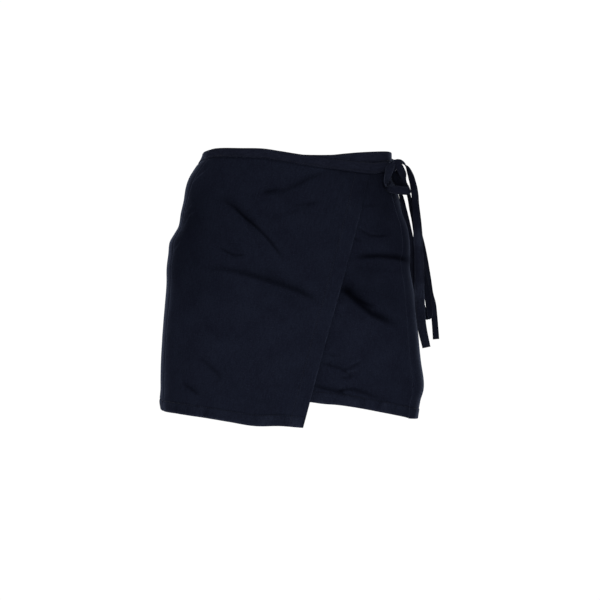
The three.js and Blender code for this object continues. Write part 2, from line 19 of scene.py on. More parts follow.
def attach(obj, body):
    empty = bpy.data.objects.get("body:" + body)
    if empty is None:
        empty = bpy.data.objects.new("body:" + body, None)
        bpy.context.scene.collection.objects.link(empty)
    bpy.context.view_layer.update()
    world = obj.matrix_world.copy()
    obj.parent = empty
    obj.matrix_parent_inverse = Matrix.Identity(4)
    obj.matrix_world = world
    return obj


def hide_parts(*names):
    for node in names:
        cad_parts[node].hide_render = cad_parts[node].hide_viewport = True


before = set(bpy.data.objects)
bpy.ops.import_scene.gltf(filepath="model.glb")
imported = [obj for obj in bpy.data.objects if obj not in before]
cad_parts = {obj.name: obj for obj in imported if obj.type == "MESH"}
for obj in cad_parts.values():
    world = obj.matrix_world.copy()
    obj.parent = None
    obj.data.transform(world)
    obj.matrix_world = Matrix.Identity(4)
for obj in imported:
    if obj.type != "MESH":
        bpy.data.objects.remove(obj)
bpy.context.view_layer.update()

MM = 0.001
TO_MM = (1000, 1000, 1000)
ROLL = 0.9
BODY = "root"
log = logging.getLogger("wrap_skirt")

Array = np.ndarray
Table = tuple[tuple[float, ...], ...]

# How far the worn cloth reaches from the axis: drop, then to the left, right, front and back.
LEVELS: Table = (
    (-16, 134, 137.8, 97, 97), (0, 136.2, 138.2, 98, 98), (16, 146.5, 138.6, 100, 101),
    (30, 155, 138.8, 103, 106), (45, 160, 145.5, 105, 112), (62, 162.7, 150.4, 107.5, 118),
    (80, 166.8, 155.8, 110, 124), (99, 170, 163, 111.5, 128), (112, 177, 165.5, 112, 129.5),
    (123, 183, 166.8, 112, 130), (140, 184.7, 167, 112, 130), (160, 187.1, 166.5, 112, 130),
    (180, 187.2, 169.5, 112, 129), (206, 188.8, 172.8, 112.5, 128), (251, 193, 176.5, 114, 127),
    (293, 195.2, 180.7, 116, 126), (320, 195.8, 184.8, 117, 125.5), (335, 195.9, 184.6, 117.5, 125),
    (351, 197, 180, 118, 125), (366, 195, 177.5, 118, 124.5), (384, 191.5, 175, 118, 124),
)
# Lines round the skirt: an angle and a height, or an angle and a drop.
WAIST_LINE: Table = (
    (-60, 7.6), (-42, 5), (-26, 3.5), (-12, -0.6), (3, -4.1), (27, -4.3), (38, -1.8), (48, 0.6),
    (62, 3.6), (74, 5.9), (90, 7.2), (180, 12.6), (240, 9.4), (270, 5.2), (286, 6.9), (298, 8.2),
)
OVER_LINE: Table = (
    (-90, 5.2), (-74, 6.9), (-62, 8.2), (-42, 5.8), (-26, 4.3), (-12, 0.3), (3, -4), (22.5, -8.4),
    (45, -12.4), (70, -13.4),
)
BAND_HEIGHT: Table = (
    (-60, 15.2), (240, 15.2), (298, 12.8), (330, 13.4), (360, 14.0), (385, 14.8), (410, 15.8), (430, 15.8),
)
OVER_HEM: Table = (
    (-90, 363.5), (-76, 364.8), (-66, 365.2), (-56, 367.4), (-48, 370.2), (-40, 373.4),
    (-26, 378.6), (-10, 378.4), (5, 380.6),
)
UNDER_HEM: Table = (
    (-6, 344), (9, 346.2), (18, 348.8), (28, 350.8), (40, 355.6), (52, 362.2), (64, 369.2), (72, 374),
)
BACK_HEM: Table = (
    (64, 369.2), (72, 374), (92, 376.4), (135, 367), (180, 361), (225, 360), (286, 364.8),
)
# Lines down the skirt: a drop and a distance from the middle, or a drop and an angle.
OVER_EDGE: Table = ((16, 104), (94, 86), (171.5, 66), (255, 43), (382, 9.5))
UNDER_EDGE: Table = ((-10, -88), (382, -12))
LEFT_SEAM: Table = ((-16, -65), (37, -72.5), (80, -76), (384, -78))

# Straps: x, y and z of the middle, the way the width points, and the share of the width spread.
TAIL_FRONT: Table = (
    (138.5, -38, -9.8, 0, 0.8, 0.6, 0.85), (144.5, -38, -8.2, 0.1, 0.8, 0.6, 0.85),
    (149.9, -38, -9, 0.25, 0.85, 0.45, 0.9),
    (154.6, -38, -12.2, 0.1, 0.95, 0.2, 1), (158.8, -37.8, -17.5, -0.25, 0.93, 0, 1),
    (162.6, -37.4, -25.5, -0.55, 0.82, 0, 1), (165.8, -36.8, -36, -0.72, 0.68, 0, 1),
    (169.2, -36, -51, -0.78, 0.6, 0, 1), (171.2, -34.6, -72, -0.82, 0.55, 0, 1),
    (173.3, -32.6, -94.4, -0.9, 0.4, 0, 1.05), (174.6, -30.4, -118, -0.97, 0.2, 0, 1.12),
    (175.6, -28.8, -141, -1, 0, 0, 1.15), (176.4, -28, -170, -1, 0, 0, 1.18),
    (176.8, -28, -196, -1, 0, 0, 1.18),
    (178.1, -28, -222, -1, 0.05, 0, 1.16), (180.9, -28, -247, -1, 0.12, 0, 1.08),
    (186.8, -28.4, -273.9, -0.9, 0.2, 0, 1),
)
TAIL_BACK: Table = (
    (143.2, -44.4, -9.5, 0.88, 0.1, 0.47, 0.85), (147.2, -45.4, -17.5, 0.9, 0.15, 0.45, 0.95),
    (152.2, -41.5, -27, 0.85, 0.3, 0.4, 0.9), (158, -31, -38, 0, 1, 0.1, 0.9),
    (160.8, -21.5, -51.5, -0.1, 1, 0, 1), (164.8, -18.6, -67.5, 0, 1, 0, 1),
    (170.2, -16.5, -85, 0.2, 0.9, 0, 1), (176.8, -12.5, -105.8, 0.5, 0.8, 0, 1),
    (183.4, -8.5, -134, 0.68, 0.72, 0, 1), (188.8, -6.5, -163, 0.66, 0.74, 0, 1),
    (193.2, -6, -191.6, 0.64, 0.76, 0, 1), (198.2, -6, -214, 0.62, 0.78, 0, 1),
    (201, -6, -238, 0.62, 0.78, 0, 1), (202.6, -6, -262.6, 0.64, 0.76, 0, 1),
)
LOOP_SHORT: Table = (
    (136.4, -46.2, -12.6, 0.9, 0.4, 0.3, 0.75), (132.4, -55.4, -20.5, 0.95, 0.3, 0.1, 0.95),
    (129.2, -61.6, -30.6, 0.8, 0.6, 0, 1), (126.8, -64.4, -39.4, 0.55, 0.8, -0.2, 1),
    (127.6, -64.4, -46.2, 0.2, 0.75, -0.6, 1), (134.6, -61.5, -49.4, 0, 0.4, -0.9, 1),
    (144.5, -56.5, -50.6, 0, 0.1, -1, 1), (153.2, -50, -51, 0, 0.1, -1, 1),
    (159.6, -44.4, -50.4, 0.1, 0.2, -1, 1), (161.2, -40.6, -47, 0.45, 0.3, -0.75, 1),
    (154.6, -37.6, -44.4, 0.72, -0.3, 0.3, 1.05), (146.4, -36.8, -38.6, 0.8, -0.4, 0.5, 1.12),
    (141.6, -37.6, -29.4, 0.85, -0.3, 0.45, 1), (140.6, -39, -22, 0.95, 0, 0.3, 0.8),
)
LOOP_LONG: Table = (
    (138, -32.6, -21.2, 0.3, 0.9, 0, 0.7), (142.8, -26, -34, 0.1, 1, 0, 0.9), (147.8, -26, -48, 0, 1, 0, 1),
    (151.8, -28, -63, 0, 1, 0, 1), (156.2, -29, -81.5, 0, 1, 0, 1), (160.8, -29, -101, 0, 1, 0, 1),
    (165, -27, -123, 0, 1, 0, 1), (167, -24, -147, 0, 1, 0, 1), (169.8, -21, -172, 0, 1, 0, 1.05),
    (175.4, -18, -195, 0, 1, 0, 1.05), (182, -18, -214, 0, 1, 0, 1), (187, -18, -229, 0, 1, 0, 1),
    (190, -18, -232.6, 0, 1, 0, 1), (192, -18, -228, 0, 1, 0, 1), (191, -18, -211, 0, 1, 0, 1),
    (187.6, -18, -190, 0, 1, 0, 1), (182.6, -18, -166, 0, 1, 0, 1), (177.6, -18.5, -139, 0, 1, 0, 1),
    (173.4, -19.5, -113, 0, 1, 0, 1), (169, -21, -88, 0, 1, 0, 1), (164.6, -22, -67, 0, 1, 0, 1),
    (160, -23.6, -50, 0, 1, 0, 1), (152.2, -27, -34, 0.2, 0.95, 0, 0.9),
    (144.4, -31.4, -21, 0.3, 0.9, 0, 0.7),
)
TIE_SIDE: Table = (
    (139.9, 14, -5.2, 0, 0, 1, 0.75), (140.1, 4, -5.4, 0, 0, 1, 0.75), (140, -6, -6.6, 0, 0, 1, 0.75),
    (139.6, -15, -8.8, 0, 0.1, 1, 0.75), (138.6, -22.5, -11.4, 0, 0.1, 1, 0.75),
    (138.4, -28.2, -13, 0, 0, 1, 0.7),
)


class Face(Enum):
    """The side of the skirt that a fold is measured from."""

    FRONT = "front"
    BACK = "back"


class Slot(Enum):
    """The record's material slots."""

    PANEL = "panel_twill"
    BAND = "band_twill"
    TIE = "tie_twill"


def smooth(share: Array) -> Array:
    """An eased share, 0 up to 0 and 1 from 1 on."""
    share = np.clip(share, 0.0, 1.0)
    return share * share * (3 - 2 * share)


def mix(a: Array, b: Array, share: Array) -> Array:
    """A blend from a to b."""
    return a + (b - a) * share


def near(distance: Array, width: Array | float) -> Array:
    """1 on a line, falling to nothing a few widths away."""
    return np.exp(-((distance / width) ** 2))


def rolled(to_edge: Array) -> Array:
    """How far a folded edge of the cloth rolls inwards."""
    return ROLL - np.sqrt(np.clip(ROLL**2 - np.clip(ROLL - to_edge, 0, None) ** 2, 0, None))


def read(table: Table, where: Array, column: int = 1) -> Array:
    """A smooth curve through a table's rows.

    Args:
        table: rows in rising order of their first column.
        where: places in the first column's unit.
        column: the column that is read.

    Returns:
        The column's value at each place.
    """
    at = np.array([row[0] for row in table], float)
    value = np.array([row[column] for row in table], float)
    last = len(at) - 1
    where = np.clip(where, at[0], at[last])
    i = np.searchsorted(at[1:last], where, side="left")
    before = np.maximum(np.arange(last + 1) - 1, 0)
    after = np.minimum(np.arange(last + 1) + 1, last)
    slope = (value[after] - value[before]) / (at[after] - at[before])
    span = at[i + 1] - at[i]
    t = (where - at[i]) / span
    leave = t * (1 - t) ** 2 * span * slope[i]
    arrive = t * t * (1 - t) * span * slope[i + 1]
    return mix(value[i], value[i + 1], smooth(t)) + leave - arrive


def spaced(length: float, step: float, fine: Sequence[tuple[float, float, float]]) -> Array:
    """Places from 0 to a length, closer together where the cloth has detail.

    Args:
        length: the last place.
        step: the usual step.
        fine: middle, reach and step of each stretch with detail.

    Returns:
        The places in rising order.
    """
    places = [0.0]
    while places[-1] < length - 1e-6:
        here = step
        for middle, reach, close in fine:
            if abs(places[-1] + here / 2 - middle) < reach:
                here = min(here, close)
        places.append(min(places[-1] + here, length))
    return np.array(places)


@dataclass(frozen=True)
class Ripple:
    """Small unevenness of the cloth, the same on every run."""

    seed: int
    across: float
    down: float
    height: float

    def read(self, x: Array, y: Array) -> Array:
        """How far the cloth stands out.

        Args:
            x: places across the flat cloth.
            y: places down the flat cloth.

        Returns:
            Heights between minus and plus the ripple's own.
        """
        size = 61
        grid = np.random.default_rng(self.seed).uniform(-1, 1, (size, size))
        u = (x + 0.37 * y) / self.across
        v = (y - 0.29 * x) / self.down
        i = np.floor(u).astype(int)
        j = np.floor(v).astype(int)
        s = smooth(u - i)
        t = smooth(v - j)
        top = mix(grid[i % size, j % size], grid[(i + 1) % size, j % size], s)
        bottom = mix(grid[i % size, (j + 1) % size], grid[(i + 1) % size, (j + 1) % size], s)
        return self.height * mix(top, bottom, t)


@dataclass(frozen=True)
class WornForm:
    """The rounded oval that the cloth follows at each level, as filled out by a wearer."""

    squareness: float = 2.25
    per_degree: float = 2.65

    def oval(self, angle: Array, drop: Array) -> tuple[Array, Array, Array, Array]:
        """The oval's edge and the way it faces.

        Args:
            angle: directions round the waist.
            drop: levels.

        Returns:
            x, y and the two parts of the outward direction.
        """
        sine = np.sin(np.radians(angle))
        cosine = np.cos(np.radians(angle))
        side = np.where(sine < 0, read(LEVELS, drop, 1), read(LEVELS, drop, 2))
        depth = np.where(cosine < 0, read(LEVELS, drop, 4), read(LEVELS, drop, 3))
        n = self.squareness
        across = np.abs(sine) / side
        along = np.abs(cosine) / depth
        radius = (across**n + along**n) ** (-1 / n)
        face_x = np.sign(sine) * across ** (n - 1) / side
        face_y = -np.sign(cosine) * along ** (n - 1) / depth
        length = np.hypot(face_x, face_y)
        return radius * sine, -radius * cosine, face_x / length, face_y / length

    def point(self, angle: Array, drop: Array, offset: Array) -> Array:
        """Points on cloth that stands off the oval."""
        x, y, face_x, face_y = self.oval(angle, drop)
        return np.stack([x + offset * face_x, y + offset * face_y, -drop + 0 * x], axis=-1)

    def angle_at(self, x: Array, drop: Array, face: Face = Face.FRONT) -> Array:
        """The angle at which the front or back lies at a distance from the middle.

        Args:
            x: distances, negative to the left.
            drop: levels.
            face: the side of the skirt.

        Returns:
            The angles.
        """
        x, drop = np.broadcast_arrays(np.asarray(x, float), np.asarray(drop, float))
        low = np.zeros(x.shape)
        high = np.full(x.shape, 89.0)
        sign = np.where(x < 0, -1.0, 1.0)
        for _ in range(22):
            middle = (low + high) / 2
            angle = sign * middle if face is Face.FRONT else 180 - sign * middle
            short = np.abs(self.oval(angle, drop)[0]) < np.abs(x)
            low = np.where(short, middle, low)
            high = np.where(short, high, middle)
        return sign * low if face is Face.FRONT else 180 - sign * low


FORM = WornForm()


@dataclass(frozen=True)
class Fold:
    """A soft trough from one place to another, with a low ridge on each side."""

    x1: float
    drop1: float
    x2: float
    drop2: float
    bow: float
    depth: float
    width: float
    deepest: float
    face: Face = Face.FRONT
    sag: float = 4.5

    def depth_at(self, angle: Array, drop: Array) -> Array:
        """How deep the trough is at each place.

        Args:
            angle: directions round the waist.
            drop: levels.

        Returns:
            The depth in millimetres, 0 beyond the ends.
        """
        ends = np.array([
            (float(FORM.angle_at(x, d, self.face)) * FORM.per_degree, d)
            for x, d in ((self.x1, self.drop1), (self.x2, self.drop2))
        ])
        run = ends[1] - ends[0]
        length = np.hypot(*run)
        from_x = angle * FORM.per_degree - ends[0][0]
        from_y = drop - ends[0][1]
        t = (from_x * run[0] + from_y * run[1]) / length**2
        side = (from_y * run[0] - from_x * run[1]) / length
        rise = np.where(t < self.deepest, t / self.deepest, (1 - t) / (1 - self.deepest))
        sag = self.sag if run[0] > 0 else -self.sag
        away = (side - sag - self.bow * 4 * t * (1 - t)) / self.width
        trough = np.exp(-(away**2)) - 0.22 * np.exp(-((np.abs(away) - 1.9) ** 2))
        return np.where((t > 0) & (t < 1), self.depth * smooth(rise) * trough, 0.0)


@dataclass(frozen=True)
class Line:
    """A line through a few places on the worn cloth, from left to right."""

    places: Table
    face: Face = Face.FRONT

    def measure(self, angle: Array, drop: Array) -> tuple[Array, Array, Array]:
        """Where points lie beside the line.

        Args:
            angle: directions round the waist.
            drop: levels.

        Returns:
            The distance from the line, the distance below it and the share of its length.
        """
        line = np.array([
            (float(FORM.angle_at(x, d, self.face)) * FORM.per_degree, d) for x, d in self.places
        ])
        steps = np.hypot(*np.diff(line, axis=0).T)
        along = np.concatenate([[0], np.cumsum(steps)])
        x = angle * FORM.per_degree
        best = np.full(np.shape(x), np.inf)
        side = np.zeros(np.shape(x))
        share = np.zeros(np.shape(x))
        for k, length in enumerate(steps):
            run = (line[k + 1] - line[k]) / length
            t = (x - line[k][0]) * run[0] + (drop - line[k][1]) * run[1]
            across = (drop - line[k][1]) * run[0] - (x - line[k][0]) * run[1]
            short = np.clip(t, 0, length)
            away = np.hypot(across, t - short)
            closer = away < best
            best = np.where(closer, away, best)
            side = np.where(closer, across, side)
            share = np.where(closer, (along[k] + short) / along[-1], share)
        return best, side, share


@dataclass(frozen=True)
class Crease(Line):
    """A creased fold with its own reach above and below its line, and painted shade along it.

    Attributes:
        depth: how deep the line is where it is deepest.
        above: how far the flank above reaches.
        below: how far the flank below reaches.
        peak: share of the run where it is deepest.
        sharp: radius of the valley.
        dark: how much painted shade darkens the cloth along the line, for the shadow in a fold or on a broad
            patch turned from the light.
        wide: half the width of that painted shade.
    """

    depth: float = 1.0
    above: float = 3.0
    below: float = 7.0
    peak: float = 0.5
    sharp: float = 1.4
    dark: float = 0.4
    wide: float = 1.5

    def rise(self, share: Array) -> Array:
        """How strong the fold line is along its run."""
        rise = np.where(share < self.peak, share / self.peak, (1 - share) / (1 - self.peak))
        return smooth(rise * 1.8)

    def depth_at(self, angle: Array, drop: Array) -> Array:
        """How deep the fold line is at each place.

        Args:
            angle: directions round the waist.
            drop: levels.

        Returns:
            The depth in millimetres.
        """
        away, side, share = self.measure(angle, drop)
        reach = mix(self.above, self.below, smooth(side / (2 * self.sharp) + 0.5))
        flank = np.exp(-(np.sqrt(away**2 + self.sharp**2) - self.sharp) / reach)
        return self.depth * self.rise(share) * flank

    def dark_at(self, angle: Array, drop: Array) -> Array:
        """How much painted shade darkens the cloth along the line, softer on its upper side.

        Args:
            angle: directions round the waist.
            drop: levels.

        Returns:
            The share of painted shade, from 0 to 1.
        """
        away, side, share = self.measure(angle, drop)
        width = self.wide * mix(1.5, 1.0, smooth(side / self.wide + 0.5))
        return self.dark * self.rise(share) * near(away, width)


@dataclass(frozen=True)
class Streak(Line):
    """A thin raised line where the dye has worn off."""

    worn: float = 0.5
    wide: float = 1.2

    def worn_at(self, angle: Array, drop: Array) -> Array:
        """How worn the cloth is at each place."""
        away, _, share = self.measure(angle, drop)
        return self.worn * smooth(5 * share * (1 - share)) * near(away, self.wide)


OVER_FOLDS = (
    Fold(-100, 60, -20, 150, 5, 5.5, 11, 0.45),
    Fold(-122, 156, 36, 212, -5, 7.5, 12, 0.7),
    Fold(-108, 122, -66, 146, -3, 1.2, 8, 0.5),
    Fold(-64, 60, 58, 26, 3, 2.8, 11, 0.5),
    Fold(-156, 320, -112, 348, 0, 3, 8, 0.5),
    Fold(-134, 288, -92, 320, 3, 2.6, 8, 0.5),
    Fold(-122, 172, -163, 336, 12, 3.4, 22, 0.4),
    Fold(-116, 230, -60, 284, 4, 2.4, 11, 0.5),
)
UNDER_FOLDS = (
    Fold(74, 156, 155, 152, 4, 5.5, 10, 0.35),
    Fold(52, 184, 142, 236, -4, 9, 12, 0.2),
    Fold(78, 118, 128, 120, 0, 2, 8, 0.5),
    Fold(30, 290, 90, 314, -4, 3.2, 9, 0.4),
    Fold(145, 264, 76, 308, 4, 2.8, 13, 0.5),
)
BACK_FOLDS = (
    Fold(120, 96, 30, 150, -6, 5, 10, 0.4, Face.BACK),
    Fold(-128, 108, -24, 176, 6, 5.5, 10, 0.4, Face.BACK),
    Fold(-60, 66, 52, 62, 5, 3, 10, 0.5, Face.BACK),
    Fold(142, 168, 66, 236, -5, 4.5, 12, 0.4, Face.BACK),
    Fold(-146, 200, -96, 330, -8, 4, 20, 0.5, Face.BACK),
    Fold(98, 268, 132, 342, 5, 3.6, 18, 0.6, Face.BACK),
    Fold(-30, 236, 12, 352, 6, 3, 20, 0.6, Face.BACK),
)
# In the four tables below, dark is painted shade: a shadow along each fold line, and where there is no depth
# only a broad shaded patch where the cloth turns from the light.
OVER_CREASES = (
    Crease(((-106, 65), (-96, 70), (-86, 77), (-72, 91), (-56, 104), (-39, 121), (-25, 139), (-12, 158)),
           depth=2.6, above=2.6, below=9, peak=0.55, dark=0.55, wide=1.5),
    Crease(((-110, 60), (-94, 68), (-80, 80), (-64, 96), (-50, 110)), depth=0, dark=0.18, wide=5),
    Crease(((40, -10), (66, 14), (92, 44), (120, 84)), depth=0, peak=0.6, dark=0.2, wide=24),
    Crease(((-106, 130), (-100, 136), (-92, 141), (-82, 145), (-66, 144)),
           depth=1.0, below=5, dark=0.5, wide=1.1),
    Crease(((-178, 200), (-176, 150), (-150, 90), (-128, 40)), depth=0, dark=0.16, wide=22),
    Crease(((-150, 40), (-142, 110), (-150, 190), (-158, 240)), depth=0, dark=0.14, wide=34),
    Crease(((-150, 157), (-139, 160), (-98, 164), (-74, 169), (-48, 177), (-22, 185), (6, 195), (38, 211)),
           depth=2.6, above=3.5, below=13, peak=0.7, dark=0.42, wide=3.2),
    Crease(((-66, 64), (-36, 58), (-15, 55), (6, 46), (22, 37), (52, 26)),
           depth=1.8, above=4, below=9, dark=0.3, wide=3),
    Crease(((-47, 58), (-22, 53)), depth=0.8, below=5, dark=0.25),
    Crease(((-10, 78), (6, 75), (35, 72)), depth=0.8, above=2.5, below=6, dark=0.25),
    Crease(((-47, 103), (-15, 89), (22, 76), (47, 68)), depth=0.8, above=6, below=4, dark=0.1, wide=3),
    Crease(((-158, 320), (-143, 330), (-132, 339)), depth=1.6, peak=0.6, dark=0.45, wide=1.8),
    Crease(((-133, 284), (-125, 290), (-108, 306), (-99, 317)),
           depth=1.2, below=8, peak=0.6, dark=0.32, wide=2),
    Crease(((-133, 234), (-112, 250), (-99, 268)), depth=0.9, below=8, dark=0.12, wide=3),
    Crease(((-86, 332), (-49, 345), (-18, 347)), depth=0.8, below=6, dark=0.12, wide=2),
    Crease(((48, 96), (58, 60), (68, 36)), depth=0.9, above=5, below=3, sharp=1.0, dark=0.1),
    Crease(((30, 110), (44, 78), (50, 62)), depth=0.7, above=5, below=5, dark=0.1),
)
SIDE_CREASES = (
    Crease(((73, 152), (76, 149.5), (92, 146.5), (117, 145), (141, 146.5), (160, 150), (165, 152)),
           depth=3.2, above=3.4, below=11, sharp=2.0, dark=0.66, wide=3.0),
    Crease(((52, 176), (84, 184), (120, 200), (150, 220), (166, 232)), depth=0, peak=0.4, dark=0.2, wide=15),
    Crease(((86, 92), (110, 104), (140, 122), (164, 140)), depth=0, peak=0.6, dark=0.16, wide=18),
    Crease(((60, 8), (92, 30), (118, 60), (140, 96)), depth=0, peak=0.6, dark=0.24, wide=24),
    Crease(((57, 188), (62, 191), (75, 196), (92, 211), (108, 225), (137, 239), (152, 244)),
           depth=4.2, above=5, below=13, peak=0.36, sharp=2.4, dark=0.78, wide=4.6),
    Crease(((66, 165), (92, 163), (124, 164.5), (160, 169)),
           depth=0.8, above=3, below=8, peak=0.6, dark=0.12, wide=2.4),
)
UNDER_CREASES = (
    Crease(((83, 106), (92, 110), (104, 117), (122, 117.5), (134, 115)), depth=1.3, below=6, dark=0.35),
    Crease(((76, 120), (84, 123), (96, 126)), depth=1.0, below=5, dark=0.3),
    Crease(((86, 77.5), (102, 75), (115, 74)), depth=0.9, above=2.5, below=5, dark=0.2),
    Crease(((80, 205), (90, 206), (106, 214), (118, 217)), depth=1.0, above=2.5, below=6, dark=0.35),
    Crease(((30, 291), (47, 296.5), (62, 301), (73, 308), (80, 312)),
           depth=1.8, above=2.5, below=5, peak=0.7, dark=0.4),
    Crease(((63, 305), (77, 299), (94, 291)), depth=1.2, above=2, below=4, dark=0.32),
    Crease(((60, 312), (70, 314), (84, 309)), depth=1.0, above=2, below=4, dark=0.32),
    Crease(((20, 321), (36, 327), (52, 331), (60, 332.5), (72, 329), (84, 331), (117, 342), (140, 353)),
           depth=2.2, above=2.5, below=6, peak=0.22, dark=0.5, wide=2.2),
    Crease(((58, 328), (64, 333), (70, 340)), depth=1.0, above=2, below=4, dark=0.3),
    Crease(((38, 281), (52, 283), (66, 282)), depth=0.9, above=2.5, below=4, dark=0.22),
    Crease(((112, 28), (118, 44), (120, 60)), depth=0.6, above=5, below=5, peak=0.4, dark=0.15),
)
BACK_CREASES = (
    Crease(((-112, 104), (-84, 128), (-52, 150), (-22, 168)),
           Face.BACK, depth=2.2, below=9, dark=0.5, wide=2),
    Crease(((28, 152), (58, 140), (90, 118), (120, 98)), Face.BACK, depth=2.0, below=8, dark=0.45, wide=2),
    Crease(((-66, 66), (-30, 72), (10, 70), (56, 61)), Face.BACK, depth=1.3, below=7, dark=0.3, wide=2),
    Crease(((60, 238), (92, 222), (120, 192), (140, 172)), Face.BACK, depth=1.8, below=9, dark=0.4, wide=2.4),
    Crease(((-40, 40), (-8, 47), (30, 42)), Face.BACK, depth=0.9, below=5, dark=0.2),
    Crease(((-92, 236), (-66, 246), (-44, 247)), Face.BACK, depth=1.0, below=6, dark=0.3),
    Crease(((-140, 318), (-120, 328), (-104, 338)), Face.BACK, depth=1.3, below=6, dark=0.4),
    Crease(((96, 316), (116, 322), (134, 336)), Face.BACK, depth=1.1, below=6, dark=0.35),
    Crease(((-12, 292), (8, 300), (30, 298)), Face.BACK, depth=0.8, below=5, dark=0.2),
    Crease(((-60, 334), (-34, 341), (-2, 339)), Face.BACK, depth=0.8, below=5, dark=0.2),
)
OVER_STREAKS = (
    Streak(((-118, 17.5), (-132.5, 28), (-146, 38.5), (-154, 50.5), (-156.7, 65)), worn=0.75),
    Streak(((-143.7, 69), (-155.3, 79.6), (-161.6, 90.5)), worn=0.4),
    Streak(((-137.5, 79.5), (-150.3, 87.2), (-158.7, 101), (-172.4, 116), (-177.6, 129)), worn=0.5, wide=1.6),
    Streak(((-160.7, 120), (-166.7, 129.5), (-176.5, 139), (-180.6, 151.6)), worn=0.7),
    Streak(((68, 67.5), (75, 84)), worn=0.25),
    Streak(((-135, 20), (-150, 38), (-160, 60), (-165, 90)), worn=0.2, wide=4),
)
UNDER_STREAKS = (
    Streak(((78, 40.5), (80, 50.4), (80.7, 64.4)), worn=0.28),
    Streak(((102, 35), (103, 52)), worn=0.2),
    Streak(((84, 103), (93, 107), (105, 113.5), (121, 114)), worn=0.16),
    Streak(((62, 300), (76, 294), (94, 287)), worn=0.16),
    Streak(((66, 309), (78, 304), (88, 302)), worn=0.2, wide=1.0),
    Streak(((58, 326.5), (66, 327), (78, 325.5)), worn=0.16),
)
BACK_STREAKS = (
    Streak(((-160, 92), (-150, 102), (-138, 108)), Face.BACK, worn=0.3),
    Streak(((134, 160), (124, 176), (112, 190)), Face.BACK, worn=0.25),
)
COARSE_RIPPLE = Ripple(11, 74, 46, 0.4)
FINE_RIPPLE = Ripple(12, 17, 12, 0.1)
PUCKER = Ripple(13, 8.5, 60, 0.5)
HEM_PATCHES = Ripple(21, 38, 50, 1.0)
EDGE_PATCHES = Ripple(22, 30, 26, 1.0)
BAND_PATCHES = Ripple(23, 26, 30, 1.0)
SEAM_PATCHES = Ripple(24, 24, 60, 0.5)


@dataclass(frozen=True)
class Wrap:
    """The cut of the three panels, and how far each layer stands off the worn form."""

    drop: float = 380
    band_height: float = 15.2
    overlap_lift: float = 3.4
    hem_lift: float = 5.4
    corner_lift: float = 3.0
    corner_reach: float = 60
    layer_gap: float = 3.4
    ramp: float = 21
    right_seam: float = 70

    def left_seam(self, drop: Array) -> Array:
        """The angle of the seam at the wearer's right, at the left of the front view."""
        return read(LEFT_SEAM, drop)

    @staticmethod
    def hip_wear(drop: Array) -> Array:
        """How worn the cloth is beside the seam over the wearer's right hip."""
        return 0.42 * smooth((drop - 92) / 34) * (1 - 0.55 * smooth((drop - 225) / 60))

    @staticmethod
    def seam_wear(to_seam: Array, drop: Array) -> Array:
        """How worn the cloth is low down beside the seam at the wearer's left."""
        return 0.1 * smooth((drop - 250) / 60) * near(to_seam - 1.5, 3)

    def over_edge(self, drop: Array, inset: Array = 0.0) -> Array:
        """The angle of the over panel's slanting edge, or of a line inside it."""
        return FORM.angle_at(read(OVER_EDGE, drop) - inset, drop)

    def under_edge(self, drop: Array) -> Array:
        """The angle of the under panel's hidden edge."""
        return FORM.angle_at(read(UNDER_EDGE, drop), drop)

    def over_offset(self, angle: Array, drop: Array) -> Array:
        """How far the over panel's outside stands off the form.

        Args:
            angle: directions round the waist.
            drop: levels.

        Returns:
            Distances in millimetres.
        """
        climb = smooth((angle - self.left_seam(drop)) / self.ramp)
        down = np.clip(drop / self.drop, 0, 1)
        to_edge = (self.over_edge(drop) - angle) * FORM.per_degree
        corner = self.corner_lift * smooth(1 - to_edge / self.corner_reach) * down**2
        lift = climb * (self.overlap_lift + self.hem_lift * down**1.5) + corner
        return lift - self.depth_of(OVER_FOLDS + OVER_CREASES, angle, drop)

    def under_depth(self, angle: Array, drop: Array) -> Array:
        """The depth of the folds that show beside the overlap, which pass the side seam."""
        return self.depth_of(UNDER_FOLDS[:2] + SIDE_CREASES, angle, drop)

    def under_offset(self, angle: Array, drop: Array) -> Array:
        """How far the under panel's outside stands off the form.

        Args:
            angle: directions round the waist.
            drop: levels.

        Returns:
            Distances in millimetres.
        """
        own = -self.under_depth(angle, drop) - self.depth_of(UNDER_FOLDS[2:] + UNDER_CREASES, angle, drop)
        covered = smooth((self.over_edge(drop) + 3 - angle) / 3)
        low = np.minimum(own, self.over_offset(angle, drop) - self.layer_gap)
        return mix(own, low, covered)

    def back_offset(self, angle: Array, drop: Array) -> Array:
        """How far the back panel's outside stands off the form."""
        return -self.under_depth(angle, drop) - self.depth_of(BACK_FOLDS + BACK_CREASES, angle, drop)

    @staticmethod
    def depth_of(folds: Sequence[Fold | Crease], angle: Array, drop: Array) -> Array:
        """The depth of several folds together."""
        return sum(fold.depth_at(angle, drop) for fold in folds)


WRAP = Wrap()


